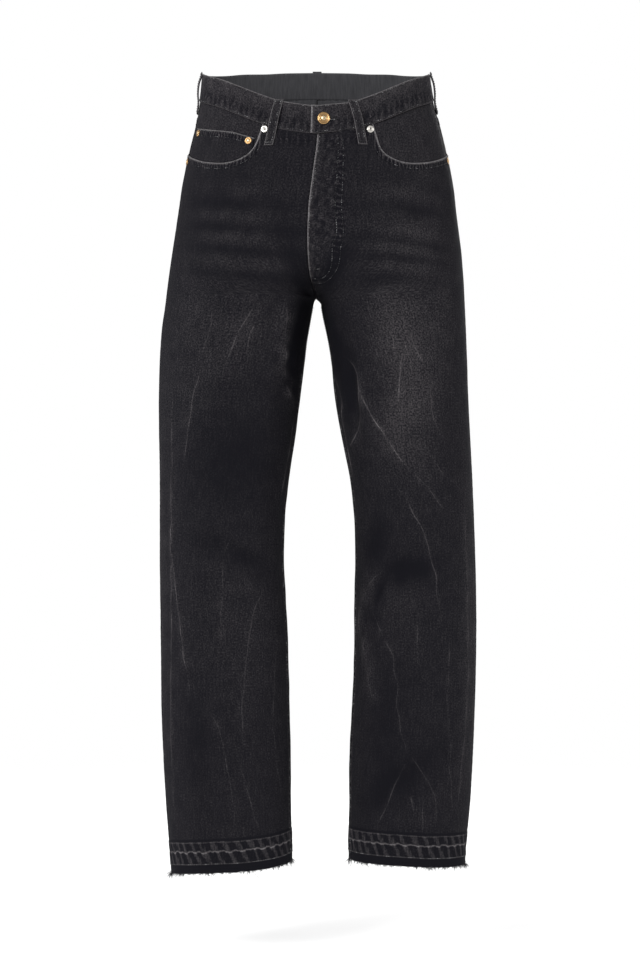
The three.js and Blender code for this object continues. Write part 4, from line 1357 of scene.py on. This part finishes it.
def frayed_hem(side, sizes):
    """Short loose ends all along a raw hem, and longer ones in tufts at both seams."""
    draws = np.random.default_rng(40 + side)
    roots, ways, lengths = [], [], []
    for face in (FRONT, BACK):
        share = np.sort(draws.uniform(0.005, 0.995, FRAY_COUNT))
        clump = 0.5 + 0.5 * np.sin(share * 47 + 3 * side + face) * np.sin(share * 19)
        z = hem(side, share) + 0.5
        roots.append(cloth(side, face, share, z, draws.uniform(-1.0, -0.1, len(share))))
        normal = outward(side, face, share, z)
        along_hem = np.cross(normal, UP)
        way = along_hem * draws.normal(0, 0.55, (FRAY_COUNT, 1)) + 0.12 * normal - UP
        ways.append(way / np.linalg.norm(way, axis=1, keepdims=True))
        fringe = 0.7 + 0.6 * np.sin(share * 330 + 3 * np.sin(share * 90))
        hanging = (0.4 + draws.gamma(1.6, 0.42, FRAY_COUNT) * clump) * fringe
        lengths.append(sizes.fray / MM * hanging.clip(0.2, 2.2))
        for centre in (0.012, 0.988):
            tuft = np.clip(centre + draws.normal(0, 0.012, TUFT_COUNT), 0.002, 0.998)
            z = hem(side, tuft) + draws.uniform(0, 3, TUFT_COUNT)
            roots.append(cloth(side, face, tuft, z, draws.uniform(-0.8, 0, TUFT_COUNT)))
            leaning = outward(side, face, tuft, z) * draws.uniform(0, 0.5, (TUFT_COUNT, 1))
            way = leaning + draws.normal(0, 0.45, (TUFT_COUNT, 3)) - UP
            ways.append(way / np.linalg.norm(way, axis=1, keepdims=True))
            lengths.append(sizes.fray / MM * draws.uniform(0.8, 3.0, TUFT_COUNT))
    roots, ways, lengths = np.concatenate(roots), np.concatenate(ways), np.concatenate(lengths)
    name = "hem_fray_right" if side == RIGHT else "hem_fray_left"
    bend = draws.normal(0, 0.35, len(roots))
    return fibres(name, roots, ways, lengths, FRAY_THICKNESS, bend, draws)


# Loose threads: side, face, the shares of both ends and how far each hangs.
LOOSE_THREADS = (
    (RIGHT, FRONT, 0.36, 0.17, 17),
    (RIGHT, FRONT, 0.03, 0.01, 14),
    (LEFT, FRONT, 0.06, 0.03, 12),
    (LEFT, BACK, 0.5, 0.42, 13),
)


def loose_threads():
    """A few long loose threads that hang from the hems, each in one open curve."""
    rows = []
    for side, face, start, end, drop in LOOSE_THREADS:
        share = np.linspace(start, end, 40)
        passed = np.linspace(0, 1, 40)
        sag = drop * np.sin(math.pi * passed) ** 0.8
        z = hem(side, share) + 0.5
        points = cloth(side, face, share, z, -0.5 * np.ones(40)) - sag[:, None] * UP
        normals = outward(side, face, share, z)
        points = points + normals * (1.5 * np.sin(2 * math.pi * passed))[:, None]
        rows.append(stitches(points, normals, 2.0, 0.42, -0.15))
    return sew("loose_threads", rows)


class Amount:
    """A number in a material. Arithmetic on it adds Math nodes."""

    def __init__(self, finish, socket):
        self.finish = finish
        self.socket = socket

    def maths(self, operation, *others):
        sockets = dict(enumerate((self, *others)))
        made = self.finish.node("ShaderNodeMath", {"operation": operation}, sockets)
        return Amount(self.finish, made.outputs[0])

    def __add__(self, other):
        return self.maths("ADD", other)

    def __sub__(self, other):
        return self.maths("SUBTRACT", other)

    def __rsub__(self, other):
        made = self.finish.node("ShaderNodeMath", {"operation": "SUBTRACT"}, {0: other, 1: self})
        return Amount(self.finish, made.outputs[0])

    def __mul__(self, other):
        return self.maths("MULTIPLY", other)

    def __truediv__(self, other):
        return self.maths("DIVIDE", other)

    def size(self):
        return self.maths("ABSOLUTE")

    def wave(self):
        return self.maths("SINE")

    def between(self, low, high):
        """0 below low, 1 above high and smooth between them."""
        sockets = {"Value": self, "From Min": low, "From Max": high}
        made = self.finish.node("ShaderNodeMapRange", {"interpolation_type": "SMOOTHSTEP"}, sockets)
        return Amount(self.finish, made.outputs["Result"])

    def line(self, width):
        """1 where this is 0, falling smoothly to 0 at width either side."""
        return 1 - self.size().between(0, width)

    def held(self):
        """Held between 0 and 1."""
        made = self.finish.node("ShaderNodeClamp", {}, {"Value": self})
        return Amount(self.finish, made.outputs[0])

    __radd__ = __add__
    __rmul__ = __mul__


class Finish:
    """A material built of nodes on one Principled shader."""

    def __init__(self, name, **sockets):
        self.material = bpy.data.materials.new(name)
        self.material.use_nodes = True
        self.tree = self.material.node_tree
        self.tree.nodes.clear()
        constants = {key.replace("_", " "): value for key, value in sockets.items()}
        self.shader = self.node("ShaderNodeBsdfPrincipled", {}, constants)
        self.node("ShaderNodeOutputMaterial", {}, {"Surface": self.shader.outputs["BSDF"]})

    def node(self, kind, settings=None, sockets=None):
        made = self.tree.nodes.new(kind)
        for name, value in (settings or {}).items():
            setattr(made, name, value)
        for key, value in (sockets or {}).items():
            if isinstance(value, Amount):
                self.tree.links.new(value.socket, made.inputs[key])
            elif isinstance(value, bpy.types.NodeSocket):
                self.tree.links.new(value, made.inputs[key])
            else:
                made.inputs[key].default_value = value
        return made

    def field(self, name):
        made = self.node("ShaderNodeAttribute", {"attribute_type": "GEOMETRY", "attribute_name": name})
        return Amount(self, made.outputs["Fac"])

    def parts(self, vector):
        made = self.node("ShaderNodeSeparateXYZ", {}, {0: vector})
        return [Amount(self, socket) for socket in made.outputs]

    def place(self, x, y, z=0.0):
        return self.node("ShaderNodeCombineXYZ", {}, {0: x, 1: y, 2: z}).outputs[0]

    def noise(self, vector, scale, detail=2.0, roughness=0.55):
        made = self.node("ShaderNodeTexNoise", {"normalize": True},
                         {"Vector": vector, "Scale": scale, "Detail": detail, "Roughness": roughness})
        return Amount(self, made.outputs["Fac"])

    def blend(self, share, low, high):
        made = self.node("ShaderNodeMix", {"data_type": "RGBA"}, {0: share, 6: low, 7: high})
        return made.outputs[2]

    def bump(self, height, strength, distance):
        sockets = {"Height": height, "Strength": strength, "Distance": distance}
        made = self.node("ShaderNodeBump", {}, sockets)
        self.connect("Normal", made.outputs[0])

    def connect(self, key, value):
        socket = value.socket if isinstance(value, Amount) else value
        self.tree.links.new(socket, self.shader.inputs[key])


def four(colour, light=1.0):
    """A colour with its alpha, made darker where light is below 1."""
    return (*(channel * light for channel in colour), 1.0)


def washed_denim(colours):
    """Black denim washed grey along its edges and creases, with painted shade in its folds.
    The weave map is in metres of cloth; the field of broad tone is the fading together with
    painted shade in folds and creases, and edge, crease and hem are distances in millimetres."""
    finish = Finish("washed_denim", Roughness=0.9, Specular_IOR_Level=0.05)
    across, up, _ = finish.parts(finish.node("ShaderNodeUVMap", {"uv_map": "weave"}).outputs[0])
    weave = finish.place(across, up)
    slubs = finish.noise(finish.place(across * 420, up * 48), 1.0, 3.0)
    grain = finish.noise(finish.place(across * 620, up * 440), 1.0, 2.0)
    cloud = finish.noise(weave, 38.0, 3.0)
    fleck = finish.noise(weave, 260.0, 2.0)
    edge, hem_mm = finish.field("edge"), finish.field("hem")
    crease, pale = finish.field("crease"), finish.field("pale")
    wear = finish.field("wear")
    band, run = finish.field("band"), finish.field("run")
    edge_wear = edge.line(2.4) * (0.2 + 0.9 * fleck) * 0.56
    near_edge = edge.line(11.0) * 0.05 * (0.4 + cloud)
    crease_wear = (crease + (fleck - 0.5) * 0.9).line(1.0) * pale * (0.15 + 1.1 * fleck) * 0.38
    soft_crease = crease.line(6.0) * pale * 0.03
    stray = finish.noise(finish.place(run * 0.11, band * 0.6), 1.0, 2.0)
    ticks = (run * 0.82 + stray * 9 + band * 0.5).wave()
    in_band = band.line(1.25)
    ladder = in_band * (ticks * (0.25 + 1.1 * stray) * 0.17 - 0.055)
    hem_wave = finish.noise(finish.place(across * 60, 0.0), 1.0, 2.0) - 0.5
    hem_jog = finish.noise(finish.place(across * 210, hem_mm * 0.02), 1.0, 2.0) - 0.5
    rope = (across * 390 + hem_mm * 0.2 + hem_wave * 5 + hem_jog * 5).wave()
    in_rope = hem_mm.between(HEM_LOWER - 1.5, HEM_LOWER + 1.5)
    in_rope = in_rope * (1 - hem_mm.between(HEM_UPPER - 2, HEM_UPPER + 0.5))
    ridge = rope.between(-0.3, 0.9) * (0.1 + 0.9 * slubs + 0.6 * fleck)
    rope_wear = (ridge - 0.3) * in_rope * 0.13
    upper = (hem_mm - (HEM_UPPER - 1.2) + hem_wave * 3).line(1.3) * 0.19 * (0.2 + fleck)
    middle = (hem_mm - HEM_MIDDLE + hem_wave * 7 + rope * 0.9).line(1.9) * 0.36 * (0.25 + fleck)
    lower = (hem_mm - HEM_LOWER + hem_wave).line(1.1) * 0.24 * (0.3 + fleck)
    raw = hem_mm.line(2.0) * 0.12 * fleck
    unfaded = 1 - (1 - hem_mm.between(10.5, 12.0)) * 0.8
    # Less fading and painted shade in the furrow just above the upper hem line.
    groove_shade = 1 - (hem_mm - (HEM_UPPER + 1.8)).line(3.0) * 0.75
    mottle = (cloud - 0.5) * 0.06 + (slubs - 0.5) * 0.07 + (grain - 0.5) * (0.2 + 1.5 * wear)
    # The broad tone carries the painted shade of folds and creases as well as the fading.
    broad = (wear + ladder + 0.066) * (0.1 + 1.8 * grain) * (0.6 + 0.8 * slubs) + mottle
    faded = (broad + near_edge + soft_crease) * unfaded * groove_shade
    total = (faded + edge_wear + crease_wear + rope_wear + upper + middle + lower + raw).held()
    cool = finish.blend(total.between(0.0, 0.5), four(colours.denim), four(colours.faded))
    outer = finish.blend(total.between(0.25, 1.0), cool, four(colours.worn))
    inner = finish.blend(0.3 + 0.7 * slubs, four(colours.denim), four(colours.inside))
    finish.connect("Base Color", finish.blend(finish.field("inside"), outer, inner))
    twill = ((across * 0.62 + up) * 5200).wave() * 0.5
    finish.bump(twill + grain * 1.4 + slubs * 0.5, 0.35, 0.0004)
    finish.connect("Roughness", 0.86 + 0.1 * grain)
    return finish.material


def dark_thread(colours):
    """Matt twisted thread, a shade apart from the cloth and scuffed in places."""
    finish = Finish("dark_thread", Roughness=0.8, Specular_IOR_Level=0.25)
    spot = finish.node("ShaderNodeTexCoord").outputs["Object"]
    scuff = finish.noise(spot, 180.0, 3.0)
    scuffed = finish.blend(scuff.between(0.45, 0.75), four(colours.thread), four(colours.worn))
    finish.connect("Base Color", scuffed)
    finish.bump(finish.noise(spot, 2600.0), 0.3, 0.0002)
    return finish.material


# How light the dirt on metal is, as a part of the metal's own colour.
DIRT = 0.3


def metal(name, colour, middle, reach, rough):
    """Rubbed metal with a lighter or darker middle out to reach millimetres, and dirt held
    in its grooves by noise. A lighter middle is a painted highlight on a domed head, over
    the rubbed metal."""
    finish = Finish(name, Metallic=1.0)
    spot = finish.node("ShaderNodeTexCoord").outputs["Object"]
    radius = finish.field("radius")
    tarnish = finish.noise(spot, 900.0, 3.0)
    body = finish.blend(radius.between(reach - 0.25, reach + 0.25), middle, four(colour))
    dirty = tarnish.between(0.35, 0.75) * 0.45 + (radius - reach - 0.3).line(0.7) * 0.4
    finish.connect("Base Color", finish.blend(dirty.held(), body, four(colour, DIRT)))
    finish.connect("Roughness", rough + 0.2 * tarnish)
    finish.bump(finish.noise(spot, 2200.0), 0.12, 0.0002)
    return finish.material


class JeansSizes(bpy.types.PropertyGroup):
    stitch: FloatProperty(
        name="Stitch", description="Length of a stitch with its gap",
        default=0.0033, unit="LENGTH")
    thread: FloatProperty(
        name="Thread", description="Thickness of the sewing thread",
        default=0.0008, unit="LENGTH")
    fray: FloatProperty(
        name="Fray", description="Usual length of the loose ends at the hems",
        default=0.0042, unit="LENGTH")
    button_sides: IntProperty(
        name="Button sides", description="Facets round the waist button", default=64)


class JeansColours(bpy.types.PropertyGroup):
    denim: FloatVectorProperty(
        name="Denim", description="Unfaded black denim",
        subtype="COLOR", default=(0.006, 0.0059, 0.0081))
    faded: FloatVectorProperty(
        name="Faded", description="Half faded denim",
        subtype="COLOR", default=(0.0985, 0.0905, 0.0945))
    worn: FloatVectorProperty(
        name="Worn", description="Cloth worn to its core on an edge",
        subtype="COLOR", default=(0.25, 0.25, 0.255))
    inside: FloatVectorProperty(
        name="Inside", description="The paler inner side of the cloth",
        subtype="COLOR", default=(0.075, 0.075, 0.08))
    thread: FloatVectorProperty(
        name="Thread", description="Dark sewing thread",
        subtype="COLOR", default=(0.009, 0.009, 0.011))
    copper: FloatVectorProperty(
        name="Copper", description="Button and low rivets",
        subtype="COLOR", default=(0.47, 0.29, 0.13))
    # The pale middle of the button and the copper rivets: a painted highlight on their domes, over
    # rubbed metal.
    bright: FloatVectorProperty(
        name="Bright middle", description="Rubbed middle of the metal",
        subtype="COLOR", default=(0.8, 0.64, 0.4))
    nickel: FloatVectorProperty(
        name="Nickel", description="Pale rivets", subtype="COLOR", default=(0.78, 0.75, 0.7))


class JeansStage(bpy.types.PropertyGroup):
    distance: FloatProperty(
        name="Distance", description="Camera distance in front of the origin",
        default=4.0, unit="LENGTH")
    aim: FloatProperty(
        name="Aim", description="Height of the camera, which is level",
        default=-0.5313, unit="LENGTH")
    across: FloatProperty(
        name="Across", description="Camera place across", default=0.004, unit="LENGTH")
    lens: FloatProperty(name="Lens", description="Focal length on a 36 mm sensor", default=108.7)
    floor: FloatProperty(
        name="Floor", description="Height of the floor", default=-1.18, unit="LENGTH")
    key: FloatProperty(
        name="Key light", description="Strength of the front light in watts", default=120.0)
    sky: FloatProperty(
        name="Surround", description="Strength of the light from the white surround", default=0.5)


class JEANS_OT_finishes(bpy.types.Operator):
    """Makes the denim, thread and metal finishes"""
    bl_idname = "jeans.finishes"
    bl_label = "Finishes"

    def execute(self, context):
        colours = context.scene.jeans_colours
        washed_denim(colours)
        dark_thread(colours)
        # The button and the copper rivets have a painted highlight on their domed middles.
        metal("copper_button", colours.copper, four(colours.bright), 3.3, 0.24)
        metal("copper_rivet", colours.copper, four(colours.bright), 1.9, 0.28)
        metal("pale_rivet", colours.nickel, four(colours.nickel, DIRT), 1.5, 0.3)
        return {"FINISHED"}


SIDES = ((RIGHT, "right"), (LEFT, "left"))


class JEANS_OT_leg_panels(bpy.types.Operator):
    """Adds the two front and two back panels"""
    bl_idname = "jeans.leg_panels"
    bl_label = "Leg panels"

    def execute(self, context):
        for side, name in SIDES:
            front, back = leg_panel(side, FRONT), leg_panel(side, BACK)
            finish_cloth(front, [f"front_{name}"])
            finish_cloth(back, [f"back_{name}"])
        return {"FINISHED"}


class JEANS_OT_yokes(bpy.types.Operator):
    """Adds the two yokes"""
    bl_idname = "jeans.yokes"
    bl_label = "Yokes"

    def execute(self, context):
        for side, name in SIDES:
            piece = yoke(side)
            finish_cloth(piece, [f"yoke_{name}"])
        return {"FINISHED"}


class JEANS_OT_front_pockets(bpy.types.Operator):
    """Adds the pocket facings, the coin pocket and the fly shield"""
    bl_idname = "jeans.front_pockets"
    bl_label = "Front pockets and fly"

    def execute(self, context):
        for side, name in SIDES:
            finish_cloth(pocket_facing(side), [f"pocket_facing_{name}"])
        finish_cloth(coin_pocket(), ["coin_pocket"])
        finish_cloth(fly_shield(), ["fly_shield"])
        return {"FINISHED"}


class JEANS_OT_back_pockets(bpy.types.Operator):
    """Adds the two patch pockets"""
    bl_idname = "jeans.back_pockets"
    bl_label = "Back pockets"

    def execute(self, context):
        for side, name in SIDES:
            finish_cloth(patch_pocket(side), [f"back_pocket_{name}"])
        return {"FINISHED"}


class JEANS_OT_waistband(bpy.types.Operator):
    """Adds the waistband and the belt loops"""
    bl_idname = "jeans.waistband"
    bl_label = "Waistband and loops"

    def execute(self, context):
        finish_cloth(waistband(), ["waistband"])
        for row in BELT_LOOPS:
            finish_cloth(belt_loop(row), [row[0]])
        return {"FINISHED"}


class JEANS_OT_fastenings(bpy.types.Operator):
    """Adds the waist button and the six rivets"""
    bl_idname = "jeans.fastenings"
    bl_label = "Button and rivets"

    def execute(self, context):
        sides = context.scene.jeans_sizes.button_sides
        side, share, z, out = BUTTON_PLACE
        turned("waist_button_face", BUTTON_PROFILE, sides, side, share, z, out,
               "copper_button", "copper", ["waist_button"])
        for name, side, share, z, out, finish, slot in RIVETS:
            turned(name + "_face", RIVET_PROFILE, sides // 2, side, share, z, out,
                   finish, slot, [name])
        return {"FINISHED"}


class JEANS_OT_stitching(bpy.types.Operator):
    """Adds the rows of stitches, the bar tacks and the buttonhole"""
    bl_idname = "jeans.stitching"
    bl_label = "Stitching"

    def execute(self, context):
        sizes = context.scene.jeans_sizes
        for made in (front_stitching, back_stitching, band_stitching, loop_stitching):
            made(sizes)
        buttonhole()
        return {"FINISHED"}


class JEANS_OT_fraying(bpy.types.Operator):
    """Adds the frayed ends and loose threads of the hems"""
    bl_idname = "jeans.fraying"
    bl_label = "Fraying"

    def execute(self, context):
        sizes = context.scene.jeans_sizes
        for side, _ in SIDES:
            frayed_hem(side, sizes)
        loose_threads()
        return {"FINISHED"}


# The floor's corners and half width in metres, and the squared distances between which it
# fades out.
FLOOR_CORNERS = ((-1, -1), (1, -1), (1, 1), (-1, 1))
FLOOR_REACH = 3
FLOOR_FADE = (0.6, 7.0)
# Lights: name, place and size in metres, and strength as a share of the front light's.
LIGHTS = (
    ("front_light", (-2.2, -2.9, 1.1), 1.8, 1),
    ("right_light", (3.0, -1.0, 0.2), 1.6, 0.45),
    ("left_light", (-3.0, 0.2, -0.2), 1.6, 0.3),
    ("back_light", (0.8, 3.2, 1.0), 1.8, 0.8),
)


class JEANS_OT_stage(bpy.types.Operator):
    """Adds the camera, the pale floor and soft light"""
    bl_idname = "jeans.stage"
    bl_label = "Stage"

    def execute(self, context):
        settings = context.scene.jeans_stage
        scene = context.scene
        camera = bpy.data.cameras.new("view_from_the_front")
        camera.lens = settings.lens
        camera.sensor_width = 36
        holder = bpy.data.objects.new("view_from_the_front", camera)
        holder.location = (settings.across, -settings.distance, settings.aim)
        holder.rotation_euler = (math.pi / 2, 0, 0)
        scene.collection.objects.link(holder)
        scene.camera = holder
        pale = (0.9, 0.9, 0.9, 1.0)
        floor = Finish("pale_floor", Roughness=0.95, Specular_IOR_Level=0.1, Base_Color=pale)
        x, y, _ = floor.parts(floor.node("ShaderNodeTexCoord").outputs["Object"])
        floor.connect("Alpha", 1 - (x * x + y * y).between(*FLOOR_FADE))
        mesh = bpy.data.meshes.new("floor")
        corners = [(x * FLOOR_REACH, y * FLOOR_REACH, settings.floor) for x, y in FLOOR_CORNERS]
        mesh.from_pydata(corners, [], [(0, 1, 2, 3)])
        mesh.materials.append(floor.material)
        ground = bpy.data.objects.new("floor", mesh)
        scene.collection.objects.link(ground)
        for name, place, size, share in LIGHTS:
            light = bpy.data.lights.new(name, "AREA")
            light.shape = "DISK"
            light.size = size
            light.energy = settings.key * share
            lamp = bpy.data.objects.new(name, light)
            lamp.location = place
            aim = np.array((0, 0, -0.5)) - np.array(place)
            tilt = math.atan2(math.hypot(aim[0], aim[1]), -aim[2])
            lamp.rotation_euler = (tilt, 0, math.atan2(aim[1], aim[0]) - math.pi / 2)
            scene.collection.objects.link(lamp)
        scene.world = scene.world or bpy.data.worlds.new("surround")
        scene.world.use_nodes = True
        tree = scene.world.node_tree
        background = tree.nodes["Background"]
        background.inputs["Color"].default_value = (1, 1, 1, 1)
        seen = tree.nodes.new("ShaderNodeMapRange")
        seen.inputs["To Min"].default_value = settings.sky
        seen.inputs["To Max"].default_value = 1.0
        path = tree.nodes.new("ShaderNodeLightPath")
        tree.links.new(path.outputs["Is Camera Ray"], seen.inputs["Value"])
        tree.links.new(seen.outputs["Result"], background.inputs["Strength"])
        scene.view_settings.view_transform = "Standard"
        return {"FINISHED"}


STEPS = (
    JEANS_OT_stage, JEANS_OT_finishes, JEANS_OT_leg_panels, JEANS_OT_yokes,
    JEANS_OT_front_pockets, JEANS_OT_back_pockets, JEANS_OT_waistband, JEANS_OT_fastenings,
    JEANS_OT_stitching, JEANS_OT_fraying,
)


class JEANS_PT_panel(bpy.types.Panel):
    """Lists the sizes, colours and pieces of the jeans"""
    bl_idname = "JEANS_PT_panel"
    bl_label = "Straight leg jeans"
    bl_space_type = "VIEW_3D"
    bl_region_type = "UI"
    bl_category = "Jeans"

    def draw(self, context):
        scene = context.scene
        for group in (scene.jeans_sizes, scene.jeans_colours, scene.jeans_stage):
            for name in group.__annotations__:
                self.layout.prop(group, name)
        for step in STEPS:
            self.layout.operator(step.bl_idname)


GROUPS = {"jeans_sizes": JeansSizes, "jeans_colours": JeansColours, "jeans_stage": JeansStage}


def register():
    for made in (*GROUPS.values(), *STEPS, JEANS_PT_panel):
        bpy.utils.register_class(made)
    for name, group in GROUPS.items():
        setattr(bpy.types.Scene, name, PointerProperty(type=group))


def unregister():
    for name in GROUPS:
        delattr(bpy.types.Scene, name)
    for made in reversed((*GROUPS.values(), *STEPS, JEANS_PT_panel)):
        bpy.utils.unregister_class(made)


def main():
    register()
    bpy.ops.jeans.stage()
    bpy.ops.jeans.finishes()
    bpy.ops.jeans.leg_panels()
    bpy.ops.jeans.yokes()
    bpy.ops.jeans.front_pockets()
    bpy.ops.jeans.back_pockets()
    bpy.ops.jeans.waistband()
    bpy.ops.jeans.fastenings()
    bpy.ops.jeans.stitching()
    bpy.ops.jeans.fraying()
    bpy.context.view_layer.update()


if __name__ == "__main__":
    main()
